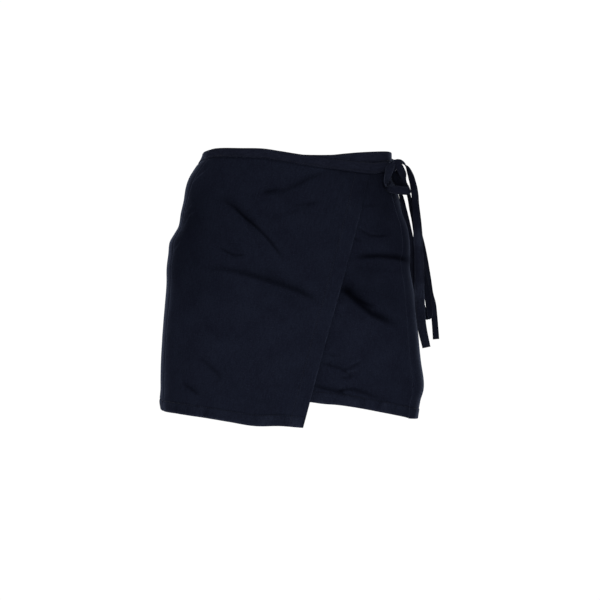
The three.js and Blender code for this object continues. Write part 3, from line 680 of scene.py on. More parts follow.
@dataclass(frozen=True)
class Twill:
    """Dark blue twill: slanting wales, streaks along the warp, fine lint, faded edges and painted shade."""

    name: str
    deep: tuple[float, float, float]
    lit: tuple[float, float, float]
    faded: tuple[float, float, float]
    wale: float = 0.95
    relief: float = 0.3
    lint: float = 0.5

    def material(self) -> bpy.types.Material:
        """The finish as a node material on the piece's own flat map.

        Returns:
            The material.
        """
        made = bpy.data.materials.new(self.name)
        made.use_nodes = True
        nodes = Nodes(made)
        flat = nodes.add("ShaderNodeUVMap", uv_map="flat")
        place = nodes.add("ShaderNodeMapping", inputs={"Scale": TO_MM})
        nodes.link(flat, "UV", place, "Vector")
        streaks = nodes.add("ShaderNodeMapping", inputs={"Scale": (420, 90, 1000)})
        nodes.link(flat, "UV", streaks, "Vector")

        cloud = nodes.noise(place, 0.03, 5)
        streak = nodes.noise(streaks, 1.0, 4)
        speck = nodes.noise(place, 0.55, 3)
        wales = nodes.wave(place, 0.4445 / self.wale, "DIAGONAL")
        threads = nodes.wave(place, 0.7, "X")

        shade = nodes.mixed(nodes.mixed(cloud, streak, 0.55), speck, 0.5)
        shade = nodes.ramp(shade, 0.36, 0.64)
        colour = nodes.colours(shade, self.deep, self.lit)
        lint = nodes.ramp(speck, 0.63, 0.76)
        lint = nodes.times(lint, self.lint)
        colour = nodes.colours(lint, colour, self.faded)
        # The fade attribute is wear, and on the front tail also a painted highlight.
        worn = nodes.add("ShaderNodeAttribute", attribute_name="fade")
        patchy = nodes.ramp(nodes.mixed(speck, streak, 0.5), 0.3, 0.62)
        amount = nodes.product((worn, "Fac"), patchy)
        colour = nodes.colours(amount, colour, self.faded)

        # Painted shade: this attribute darkens the colour towards a sixth of the deep tone along fold lines,
        # grooves and under the band, and where the tie's strands lie in shadow.
        painted_shade = nodes.add("ShaderNodeAttribute", attribute_name="painted_shade")
        colour = nodes.colours((painted_shade, "Fac"), colour, tuple(0.16 * c for c in self.deep))
        edge = nodes.add("ShaderNodeLayerWeight", inputs={"Blend": 0.5})
        sheen = nodes.add("ShaderNodeMapRange", interpolation_type="SMOOTHSTEP",
                          inputs={"From Min": 0.5, "From Max": 0.95, "To Min": 0.008, "To Max": 0.16})
        nodes.link(edge, "Facing", sheen, "Value")
        nodes.link(sheen, "Result", nodes.shader, "Sheen Weight")

        height = nodes.mixed(wales, threads, 0.35)
        bump = nodes.add("ShaderNodeBump", inputs={"Strength": self.relief, "Distance": 0.0002})
        nodes.link(*height, bump, "Height")
        shader = nodes.shader
        nodes.link(*colour, shader, "Base Color")
        nodes.link(bump, "Normal", shader, "Normal")
        for socket, value in {
            "Roughness": 0.9,
            "Specular IOR Level": 0.0,
            "Sheen Roughness": 0.4,
            "Sheen Tint": (0.58, 0.68, 1.0, 1.0),
        }.items():
            shader.inputs[socket].default_value = value
        return made


@dataclass(frozen=True)
class Thread:
    """Sewing thread with a fine twist."""

    name: str
    colour: tuple[float, float, float]
    worn: tuple[float, float, float]

    def material(self) -> bpy.types.Material:
        """The finish as a node material on object coordinates.

        Returns:
            The material.
        """
        made = bpy.data.materials.new(self.name)
        made.use_nodes = True
        nodes = Nodes(made)
        place = nodes.add("ShaderNodeTexCoord")
        scaled = nodes.add("ShaderNodeMapping", inputs={"Scale": TO_MM})
        nodes.link(place, "Object", scaled, "Vector")
        tint = nodes.ramp(nodes.noise(scaled, 0.5, 2), 0.4, 0.6)
        colour = nodes.colours(tint, self.colour, self.worn)
        twist = nodes.wave(scaled, 0.9, "DIAGONAL")
        bump = nodes.add("ShaderNodeBump", inputs={"Strength": 0.4, "Distance": 0.00008})
        nodes.link(*twist, bump, "Height")
        nodes.link(*colour, nodes.shader, "Base Color")
        nodes.link(bump, "Normal", nodes.shader, "Normal")
        nodes.shader.inputs["Roughness"].default_value = 0.7
        nodes.shader.inputs["Specular IOR Level"].default_value = 0.2
        return made


class Nodes:
    """Builds one material's nodes. An output is a pair of a node and its socket's name."""

    def __init__(self, made: bpy.types.Material) -> None:
        """Starts from the material's own shader."""
        self.tree = made.node_tree
        self.shader = self.tree.nodes["Principled BSDF"]

    def add(self, kind: str, inputs: dict | None = None, **settings: object) -> bpy.types.Node:
        """A new node with its settings and unlinked inputs.

        Args:
            kind: Blender's name of the node.
            inputs: values of its unlinked inputs.
            settings: its other settings.

        Returns:
            The node.
        """
        node = self.tree.nodes.new(kind)
        for key, value in settings.items():
            setattr(node, key, value)
        for key, value in (inputs or {}).items():
            node.inputs[key].default_value = value
        return node

    def link(self, node: bpy.types.Node, out: str, to: bpy.types.Node, into: str | int) -> None:
        """A link between two sockets."""
        self.tree.links.new(node.outputs[out], to.inputs[into])

    def noise(self, place: bpy.types.Node, scale: float, detail: float) -> tuple:
        """Cloudy noise at mapped places.

        Args:
            place: the node that maps the places.
            scale: how fine the noise is.
            detail: how many finer layers it has.

        Returns:
            The output.
        """
        node = self.add("ShaderNodeTexNoise", inputs={"Scale": scale, "Detail": detail})
        self.link(place, "Vector", node, "Vector")
        return node, "Fac"

    def wave(self, place: bpy.types.Node, scale: float, way: str) -> tuple:
        """Bands across one direction.

        Args:
            place: the node that maps the places.
            scale: how close the bands are.
            way: the axis that they cross.

        Returns:
            The output.
        """
        node = self.add("ShaderNodeTexWave", inputs={"Scale": scale, "Distortion": 0.6},
                        wave_type="BANDS", bands_direction=way)
        self.link(place, "Vector", node, "Vector")
        return node, "Fac"

    def mixed(self, first: tuple, second: tuple, share: float) -> tuple:
        """A blend of two values.

        Args:
            first: the output at a share of 0.
            second: the output at a share of 1.
            share: the share.

        Returns:
            The output.
        """
        node = self.add("ShaderNodeMix", data_type="FLOAT", inputs={0: share})
        self.link(*first, node, 2)
        self.link(*second, node, 3)
        return node, "Result"

    def ramp(self, value: tuple, low: float, high: float) -> tuple:
        """0 up to a low value, 1 from a high one, and a smooth rise between.

        Args:
            value: the output that is read.
            low: where the rise starts.
            high: where it ends.

        Returns:
            The output.
        """
        node = self.add("ShaderNodeMapRange", interpolation_type="SMOOTHSTEP",
                        inputs={"From Min": low, "From Max": high})
        self.link(*value, node, "Value")
        return node, "Result"

    def times(self, value: tuple, by: float) -> tuple:
        """A value times a number.

        Args:
            value: the output that is read.
            by: the number.

        Returns:
            The output.
        """
        node = self.add("ShaderNodeMath", operation="MULTIPLY", inputs={1: by})
        self.link(*value, node, 0)
        return node, "Value"

    def product(self, first: tuple, second: tuple) -> tuple:
        """One value times another.

        Args:
            first: an output.
            second: another output.

        Returns:
            The output.
        """
        node = self.add("ShaderNodeMath", operation="MULTIPLY")
        self.link(*first, node, 0)
        self.link(*second, node, 1)
        return node, "Value"

    def colours(self, share: tuple, first: tuple, second: tuple) -> tuple:
        """A blend of two colours, each plain or an output.

        Args:
            share: the output that gives the share.
            first: the colour at a share of 0.
            second: the colour at a share of 1.

        Returns:
            The output.
        """
        node = self.add("ShaderNodeMix", data_type="RGBA")
        self.link(*share, node, 0)
        for socket, colour in ((6, first), (7, second)):
            if isinstance(colour[0], float):
                node.inputs[socket].default_value = (*colour, 1.0)
            else:
                self.tree.links.new(colour[0].outputs[2], node.inputs[socket])
        return node, "Result"


def add_piece(name: str, bm: bmesh.types.BMesh) -> bpy.types.Object:
    """Turns a finished bmesh, which is in its place, into a new object at the origin.

    Args:
        name: its name.
        bm: the bmesh, which is freed.

    Returns:
        The object.
    """
    mesh = bpy.data.meshes.new(name)
    bm.to_mesh(mesh)
    bm.free()
    piece = bpy.data.objects.new(name, mesh)
    bpy.context.scene.collection.objects.link(piece)
    return piece


def join_body(piece: bpy.types.Object) -> None:
    """Lets a piece ride on the skirt's one body."""
    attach(piece, BODY)


def place_grid(bm: bmesh.types.BMesh, places: Array, flat: Array, values: dict[str, Array]) -> None:
    """Lays a new grid on rows and columns of places.

    Args:
        bm: the empty mesh that gets the grid.
        places: a point for each row and column, in millimetres.
        flat: the same points on the flat cloth.
        values: more named numbers for each point.
    """
    rows, columns = places.shape[:2]
    bmesh.ops.create_grid(bm, x_segments=columns - 1, y_segments=rows - 1, size=1.0)
    layers = {key: bm.verts.layers.float.new(key) for key in values}
    uv = bm.loops.layers.uv.new("flat")
    where = {}
    for vert in bm.verts:
        column = round((vert.co.x + 1) / 2 * (columns - 1))
        row = round((1 - vert.co.y) / 2 * (rows - 1))
        vert.co = Vector(places[row, column]) * MM
        where[vert.index] = flat[row, column] * MM
        for key, layer in layers.items():
            vert[layer] = float(values[key][row, column])
    for face in bm.faces:
        face.smooth = True
        for loop in face.loops:
            loop[uv].uv = where[loop.vert.index]


def apply_modifiers(piece: bpy.types.Object, sharp: float = 50.0) -> None:
    """Turns a piece's modifiers into its mesh, with sharp edges where its faces turn fast.

    Args:
        piece: the piece.
        sharp: the least angle of a sharp edge.
    """
    graph = bpy.context.evaluated_depsgraph_get()
    mesh = bpy.data.meshes.new_from_object(
        piece.evaluated_get(graph), preserve_all_data_layers=True, depsgraph=graph
    )
    plain = piece.data
    piece.modifiers.clear()
    piece.data = mesh
    bpy.data.meshes.remove(plain)
    mesh.set_sharp_from_angle(angle=math.radians(sharp))


def lengths_on(places: Array) -> Array:
    """Flat cloth positions of a grid of points, measured along its rows and columns.

    Args:
        places: rows and columns of points.

    Returns:
        Two lengths for each point, the second negative downwards.
    """
    across = np.linalg.norm(np.diff(places, axis=1), axis=-1)
    down = np.linalg.norm(np.diff(places, axis=0), axis=-1)
    u = np.concatenate([np.zeros((places.shape[0], 1)), np.cumsum(across, axis=1)], axis=1)
    v = np.concatenate([np.zeros((1, places.shape[1])), np.cumsum(down, axis=0)], axis=0)
    u = u - u[:, [places.shape[1] // 2]]
    return np.stack([u, -v], axis=-1)


def stitches(name: str, runs: Sequence[tuple[Array, Array]], pitch: float = 3.1) -> bpy.types.Object:
    """Rows of stitches as one piece.

    Args:
        name: the piece's name.
        runs: for each row, the points it follows and the way the cloth faces there.
        pitch: from one stitch to the next.

    Returns:
        The piece.
    """
    bm = bmesh.new()
    for points, facings in runs:
        along = np.concatenate([[0], np.cumsum(np.linalg.norm(np.diff(points, axis=0), axis=1))])
        for middle in np.arange(pitch, along[-1] - pitch / 2, pitch):
            ends = [np.array([np.interp(middle + d, along, points[:, k]) for k in range(3)])
                    for d in (-pitch * 0.36, pitch * 0.36)]
            up = Vector([np.interp(middle, along, facings[:, k]) for k in range(3)]).normalized()
            ahead = Vector(ends[1] - ends[0])
            half = ahead.length / 2
            ahead.normalize()
            side = up.cross(ahead).normalized()
            up = ahead.cross(side)
            centre = Vector((ends[0] + ends[1]) / 2) + up * 0.06
            turn = Matrix((ahead * half, side * 0.3, up * 0.24)).transposed().to_4x4()
            turn.translation = centre
            bmesh.ops.create_icosphere(bm, subdivisions=1, radius=1.0, matrix=Matrix.Scale(MM, 4) @ turn)
    for face in bm.faces:
        face.smooth = True
    return add_piece(name, bm)


@dataclass
class Panel:
    """A panel of twill, as a thin wall with a turned hem, hung from the waistband."""

    name: str
    node: str
    columns: int
    flat: tuple[float, float]
    area: float
    hem_depth: float = 15
    under_band: float = 4
    thickness: float = 1.8
    single: float = 0.6

    def start(self, drop: Array) -> Array:
        """The angle of the first side edge."""
        raise NotImplementedError

    def end(self, drop: Array, inset: Array) -> Array:
        """The angle of the other side edge, or of a line inside it."""
        raise NotImplementedError

    def top(self, angle: Array) -> Array:
        """The drop of the top edge, just inside the waistband."""
        return read(BAND_HEIGHT, angle) - read(WAIST_LINE, angle) - self.under_band

    def hem(self, angle: Array) -> Array:
        """The drop of the hem."""
        raise NotImplementedError

    def offset(self, angle: Array, drop: Array) -> Array:
        """How far the outside stands off the form, main folds only."""
        raise NotImplementedError

    def across(self) -> tuple[Array, Array]:
        """Shares of the width and distances inside the other edge."""
        close = 0.25 / self.columns
        share = spaced(1.0, 1 / self.columns, [(0, 0.012, close), (1, 0.012, close)])
        return share, 0 * share

    def edge_relief(self, angle: Array, drop: Array) -> Array:
        """How far the side edges and their stitched lines sink or roll inwards."""
        return 0 * angle

    def edge_fade(self, angle: Array, drop: Array) -> Array:
        """How worn the side edges are."""
        return 0 * angle

    def relief(self, angle: Array, drop: Array) -> Array:
        """Small forms: puckers, stitched lines, the rolled hem and uneven cloth.

        Args:
            angle: directions round the waist.
            drop: levels.

        Returns:
            Distances in millimetres, outwards.
        """
        x = angle * FORM.per_degree
        to_hem = self.hem(angle) - drop
        to_top = drop - self.top(angle)
        hemmed = near(np.clip(to_hem - self.hem_depth * 0.6, 0, None), 7)
        ripple = COARSE_RIPPLE.read(x, drop) + FINE_RIPPLE.read(x, drop)
        ripple = ripple * smooth(to_top / 12)
        ripple = ripple + PUCKER.read(x, drop) * hemmed
        ripple = ripple + 0.5 * PUCKER.read(x + 300, drop) * near(to_top, 8)
        sewn = -0.45 * near(to_hem - self.hem_depth, 1.1)
        step = 0.5 * smooth((self.hem_depth + 0.6 - to_hem) / 2.4)
        tuck = -1.2 * near(to_top - self.under_band, 2.2)
        return ripple + sewn + step - rolled(to_hem) + tuck + self.edge_relief(angle, drop)

    def marks(self) -> tuple[Sequence[Crease], Sequence[Streak]]:
        """The panel's creases and worn streaks."""
        raise NotImplementedError

    def painted_shade(self, angle: Array, drop: Array) -> Array:
        """How much painted shade darkens the cloth, from 0 to 1.

        Args:
            angle: directions round the waist.
            drop: levels.

        Returns:
            A share for each place.
        """
        x = angle * FORM.per_degree
        to_hem = self.hem(angle) - drop
        # Painted shade along the fold lines.
        dark = sum(mark.dark_at(angle, drop) for mark in self.marks()[0])
        uneven = 0.6 + 0.8 * SEAM_PATCHES.read(x, drop)
        # Painted shade in the groove just above the hem's stitched line.
        sewn = 0.34 * uneven * near(to_hem - self.hem_depth - 0.8, 1.2)
        # Painted shade under the waistband's lower edge.
        under = 0.3 * near(drop - self.top(angle) - self.under_band - 0.6, 1.5)
        # Painted shade that grows towards the top, for the light that bounces up onto the lower skirt.
        waist = 0.2 * smooth((290 - drop) / 230)
        # Painted shade in the hollows of the hem's puckers.
        pucker_hollow_shade = 0.3 * smooth(PUCKER.read(x, drop) * -2.2) * (to_hem < self.hem_depth)
        return np.clip(dark + sewn + under + pucker_hollow_shade + waist, 0, 0.88)

    def fade(self, angle: Array, drop: Array) -> Array:
        """How worn the cloth is, from 0 to 1.

        Args:
            angle: directions round the waist.
            drop: levels.

        Returns:
            A share for each place.
        """
        to_hem = self.hem(angle) - drop
        streaks = sum(mark.worn_at(angle, drop) for mark in self.marks()[1])
        ridges = 0.2 * smooth(PUCKER.read(angle * FORM.per_degree, drop) * 2.2 - 0.2)
        ridges = ridges * (to_hem < self.hem_depth)
        patches = smooth(HEM_PATCHES.read(angle * FORM.per_degree, drop) * 0.9 + 0.45)
        hem = near(to_hem, 2.2) * (0.25 + 0.6 * patches)
        turned = 0.06 * smooth((self.hem_depth - to_hem) / 2)
        return np.clip(hem + turned + streaks + ridges + self.edge_fade(angle, drop), 0, 1)

    def surface(self, angle: Array, drop: Array) -> Array:
        """Points on the finished outside."""
        return FORM.point(angle, drop, self.offset(angle, drop) + self.relief(angle, drop))

    def line(self, angle: Array, drop: Array) -> tuple[Array, Array]:
        """A line on the outside for stitches: its points and the way the cloth faces.

        Args:
            angle: directions round the waist.
            drop: levels.

        Returns:
            The points and the outward directions.
        """
        points = self.surface(angle, drop)
        wide = self.surface(angle + 0.3, drop) - self.surface(angle - 0.3, drop)
        tall = self.surface(angle, drop + 0.6) - self.surface(angle, drop - 0.6)
        facing = np.cross(tall, wide)
        return points, facing / np.linalg.norm(facing, axis=-1, keepdims=True)

    def hem_line(self, from_angle: float, to_angle: float) -> tuple[Array, Array]:
        """The stitched line above the hem."""
        angle = np.linspace(from_angle, to_angle, 400)
        return self.line(angle, self.hem(angle) - self.hem_depth)

    def seams(self) -> list[tuple[Array, Array]]:
        """The lines that are topstitched."""
        raise NotImplementedError

    def build(self) -> bpy.types.Object:
        """Makes the panel's wall.

        Returns:
            The piece.
        """
        share_u, inset_u = self.across()
        height = self.hem_depth + 3
        inset_v = spaced(height, 0.9, [(0, 1.4, 0.25), (self.hem_depth, 1.6, 0.45)])[::-1]
        share_v = spaced(1.0, 1 / 168, [(0, 0.012, 1 / 400)])
        rows = np.concatenate([share_v[:-1], np.ones(len(inset_v))])[:, None]
        inset_v = np.concatenate([np.full(len(share_v) - 1, height), inset_v])[:, None]
        drop = WRAP.drop * rows + 0 * share_u
        angle = 0 * drop
        for _ in range(5):
            angle = mix(self.start(drop), self.end(drop, inset_u), share_u)
            drop = mix(self.top(angle), self.hem(angle) - inset_v, rows)
        places = self.surface(angle, drop)
        to_hem = self.hem(angle) - drop
        turned = self.single + (1 - self.single) * self.doubled(angle, drop, to_hem)
        bm = bmesh.new()
        # The second attribute is painted shade.
        place_grid(bm, places, lengths_on(places),
                   {"fade": self.fade(angle, drop), "painted_shade": self.painted_shade(angle, drop)})
        index = [tuple(round(c, 9) for c in vert.co) for vert in bm.verts]
        piece = add_piece(self.name, bm)
        group = piece.vertex_groups.new(name="turned")
        weights = {tuple(round(c, 9) for c in Vector(p) * MM): w
                   for p, w in zip(places.reshape(-1, 3), turned.ravel())}
        for number, key in enumerate(index):
            group.add([number], float(weights.get(key, 1.0)), "REPLACE")
        wall = piece.modifiers.new("wall", "SOLIDIFY")
        wall.thickness = self.thickness * MM
        wall.offset = -1
        wall.vertex_group = "turned"
        apply_modifiers(piece)
        return piece

    def doubled(self, angle: Array, drop: Array, to_hem: Array) -> Array:
        """Where the cloth is turned over and so thicker, from 0 to 1."""
        return (to_hem < self.hem_depth + 0.3).astype(float)

    def dress(self, piece: bpy.types.Object, twill: bpy.types.Material, thread: bpy.types.Material) -> None:
        """Gives the panel its finish, stitches and place in the table.

        Args:
            piece: the piece.
            twill: the cloth's finish.
            thread: the stitches' finish.
        """
        piece.data.materials.append(twill)
        sewn = stitches(f"{self.name}_stitches", self.seams())
        sewn.data.materials.append(thread)
        join_body(piece)
        join_body(sewn)
        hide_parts(self.node)
        log.info("%s: %d faces", piece.name, len(piece.data.polygons))


@dataclass
class OverPanel(Panel):
    """The front panel that shows, with a stitched facing along its slanting edge."""

    facing_width: float = 19.5

    def start(self, drop: Array) -> Array:
        """The seam at the left of the front view."""
        return WRAP.left_seam(drop)

    def end(self, drop: Array, inset: Array) -> Array:
        """The slanting edge."""
        return WRAP.over_edge(drop, inset)

    def top(self, angle: Array) -> Array:
        """Just inside the waistband."""
        return read(BAND_HEIGHT, angle + 360) - read(OVER_LINE, angle) - self.under_band

    def hem(self, angle: Array) -> Array:
        """The hem, lowest at the free corner."""
        return read(OVER_HEM, angle)

    def offset(self, angle: Array, drop: Array) -> Array:
        """The over layer."""
        return WRAP.over_offset(angle, drop)

    def marks(self) -> tuple[Sequence[Crease], Sequence[Streak]]:
        """The over layer's marks."""
        return OVER_CREASES, OVER_STREAKS

    def across(self) -> tuple[Array, Array]:
        """Columns to the facing, then columns at fixed distances inside the edge.

        Returns:
            The two, one number each for every column.
        """
        inner = self.facing_width + 4
        share = spaced(1.0, 1 / self.columns, [(0, 0.012, 0.25 / self.columns)])
        inset = spaced(inner, 1.4, [(0, 1.4, 0.3), (self.facing_width, 1.6, 0.5)])[::-1]
        shares = np.concatenate([share[:-1], np.ones(len(inset))])
        return shares, np.concatenate([np.full(len(share) - 1, inner), inset])

    def edge_distance(self, angle: Array, drop: Array) -> Array:
        """Distance from the slanting edge."""
        return read(OVER_EDGE, drop) - FORM.oval(angle, drop)[0]

    def edge_relief(self, angle: Array, drop: Array) -> Array:
        """The seam's roll, the facing's stitched line and the folded edge.

        Args:
            angle: directions round the waist.
            drop: levels.

        Returns:
            Distances in millimetres, outwards.
        """
        to_edge = self.edge_distance(angle, drop)
        to_seam = (angle - self.start(drop)) * FORM.per_degree
        sewn = -0.3 * near(to_edge - self.facing_width, 1.0)
        step = 0.35 * smooth((self.facing_width + 0.6 - to_edge) / 2)
        return sewn + step - rolled(to_edge) - 0.35 * near(to_seam, 1.2)

    def edge_fade(self, angle: Array, drop: Array) -> Array:
        """Wear on the folded edge, the facing's line, the side seam and the corner.

        Args:
            angle: directions round the waist.
            drop: levels.

        Returns:
            A share for each place.
        """
        to_edge = self.edge_distance(angle, drop)
        to_seam = (angle - self.start(drop)) * FORM.per_degree
        to_hem = self.hem(angle) - drop
        along = smooth(EDGE_PATCHES.read(0 * drop, drop) * 0.8 + 0.5)
        edge = near(to_edge, 1.3) * (0.15 + 0.4 * along) * (0.15 + 0.85 * smooth((drop - 60) / 45))
        line = 0.05 * along * near(to_edge - self.facing_width + 1.6, 1.2)
        seam = WRAP.hip_wear(drop) * near(to_seam, 8) * (0.8 + 0.2 * along)
        corner = 0.35 * np.exp(-((to_edge / 16) ** 2) - ((to_hem / 8) ** 2))
        return edge + line + seam + corner

    def doubled(self, angle: Array, drop: Array, to_hem: Array) -> Array:
        """Hem and facing."""
        faced = self.edge_distance(angle, drop) < self.facing_width + 0.3
        return np.maximum(super().doubled(angle, drop, to_hem), faced)

    def seams(self) -> list[tuple[Array, Array]]:
        """The hem's line and the facing's.

        Returns:
            Points and directions for each line.
        """
        drop = np.linspace(self.top(45.0) + 4, self.hem(2.0) - 1.5, 400)
        facing = self.line(WRAP.over_edge(drop, self.facing_width), drop)
        return [self.hem_line(-77, float(WRAP.over_edge(364.0, 1.0))), facing]


@dataclass
class UnderPanel(Panel):
    """The front panel that is mostly hidden by the over panel."""

    def start(self, drop: Array) -> Array:
        """The hidden slanting edge."""
        return WRAP.under_edge(drop)

    def end(self, drop: Array, inset: Array) -> Array:
        """The seam at the right of the front view."""
        return WRAP.right_seam + 0 * drop

    def hem(self, angle: Array) -> Array:
        """The hem, which drops towards the side."""
        return read(UNDER_HEM, angle)

    def offset(self, angle: Array, drop: Array) -> Array:
        """The under layer."""
        return WRAP.under_offset(angle, drop)

    def marks(self) -> tuple[Sequence[Crease], Sequence[Streak]]:
        """The under layer's marks."""
        return SIDE_CREASES + UNDER_CREASES, UNDER_STREAKS

    def edge_relief(self, angle: Array, drop: Array) -> Array:
        """The seam's roll."""
        to_seam = (WRAP.right_seam - angle) * FORM.per_degree
        return -0.5 * near(to_seam, 1.0)

    def edge_fade(self, angle: Array, drop: Array) -> Array:
        """Wear beside the side seam and in spots on the hem.

        Args:
            angle: directions round the waist.
            drop: levels.

        Returns:
            A share for each place.
        """
        to_seam = (WRAP.right_seam - angle) * FORM.per_degree
        to_hem = self.hem(angle) - drop
        spots = np.exp(-(((FORM.oval(angle, drop)[0] - 78) / 9) ** 2) - (((to_hem - 5) / 5) ** 2))
        return WRAP.seam_wear(to_seam, drop) + 0.3 * spots

    def seams(self) -> list[tuple[Array, Array]]:
        """The hem's line."""
        return [self.hem_line(-5, 69)]


@dataclass
class BackPanel(Panel):
    """The back panel, shaped by two darts that are sewn down from the waistband."""

    dart_x: float = 46
    dart_drop: float = 118

    def start(self, drop: Array) -> Array:
        """The seam at the wearer's left."""
        return WRAP.right_seam + 0 * drop

    def end(self, drop: Array, inset: Array) -> Array:
        """The seam at the wearer's right."""
        return 360 + WRAP.left_seam(drop)

    def hem(self, angle: Array) -> Array:
        """The hem, a little higher at the middle."""
        return read(BACK_HEM, angle)

    def offset(self, angle: Array, drop: Array) -> Array:
        """The back layer."""
        return WRAP.back_offset(angle, drop)

    def marks(self) -> tuple[Sequence[Crease], Sequence[Streak]]:
        """The back layer's marks."""
        return SIDE_CREASES + BACK_CREASES, BACK_STREAKS

    def edge_relief(self, angle: Array, drop: Array) -> Array:
        """The seams' rolls and the darts' lines.

        Args:
            angle: directions round the waist.
            drop: levels.

        Returns:
            Distances in millimetres, outwards.
        """
        to_start = (angle - WRAP.right_seam) * FORM.per_degree
        to_end = (self.end(drop, drop) - angle) * FORM.per_degree
        rolls = 0.4 * near(to_start, 1.0) + 0.35 * near(to_end, 1.2)
        x = FORM.oval(angle, drop)[0]
        lean = 0.04 * drop
        dart = sum(near(x - side * (self.dart_x + lean), 1.7) for side in (-1, 1))
        sewn = smooth((self.dart_drop - drop) / 30)
        return -1.1 * rolls - 0.9 * dart * sewn * (np.cos(np.radians(angle)) < 0)

    def edge_fade(self, angle: Array, drop: Array) -> Array:
        """Wear beside the side seams.

        Args:
            angle: directions round the waist.
            drop: levels.

        Returns:
            A share for each place.
        """
        to_start = (angle - WRAP.right_seam) * FORM.per_degree
        to_end = (self.end(drop, drop) - angle) * FORM.per_degree
        hip = WRAP.hip_wear(drop) * near(to_end - 14, 15)
        return WRAP.seam_wear(to_start, drop) + hip

    def seams(self) -> list[tuple[Array, Array]]:
        """The hem's line."""
        return [self.hem_line(71, 281)]


def profile(count: int, blunt: float = 9.0) -> tuple[Array, Array]:
    """A flat strap's cross section, once round from its upper edge and back.

    Args:
        count: places on each face.
        blunt: how square the rounded edges are.

    Returns:
        Places across the width from 1 to -1 and back, and the height of the face from 1 to -1.
    """
    turn = np.linspace(0, 2 * np.pi, 2 * count + 1)
    across = np.sign(np.cos(turn)) * np.abs(np.cos(turn)) ** 0.62
    up = np.sign(np.sin(turn)) * (1 - np.abs(across) ** blunt).clip(0) ** 0.4
    return across, up


def strap_piece(name: str, rings: Array, fade: Array, painted_shade: Array) -> bpy.types.Object:
    """A closed strap from rings of points.

    Args:
        name: the piece's name.
        rings: stations by places round the strap, the last place on the first.
        fade: how worn each point is, with a painted highlight on the front tail.
        painted_shade: how dark each point is.

    Returns:
        The piece.
    """
    bm = bmesh.new()
    # The second attribute is painted shade.
    place_grid(bm, rings, lengths_on(rings), {"fade": fade, "painted_shade": painted_shade})
    bmesh.ops.remove_doubles(bm, verts=bm.verts, dist=1e-6)
    open_edges = [edge for edge in bm.edges if edge.is_boundary]
    bmesh.ops.holes_fill(bm, edges=open_edges, sides=0)
    bmesh.ops.recalc_face_normals(bm, faces=bm.faces)
    piece = add_piece(name, bm)
    piece.data.set_sharp_from_angle(angle=math.radians(60))
    return piece


def dress_strap(piece: bpy.types.Object, sewn: bpy.types.Object | None, nodes: Sequence[str]) -> None:
    """Gives a strap its place in the table.

    Args:
        piece: the strap.
        sewn: its stitches, if it has any.
        nodes: the frame's nodes that it stands for.
    """
    join_body(piece)
    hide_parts(*nodes)
    if sewn is not None:
        join_body(sewn)
    log.info("%s: %d faces", piece.name, len(piece.data.polygons))


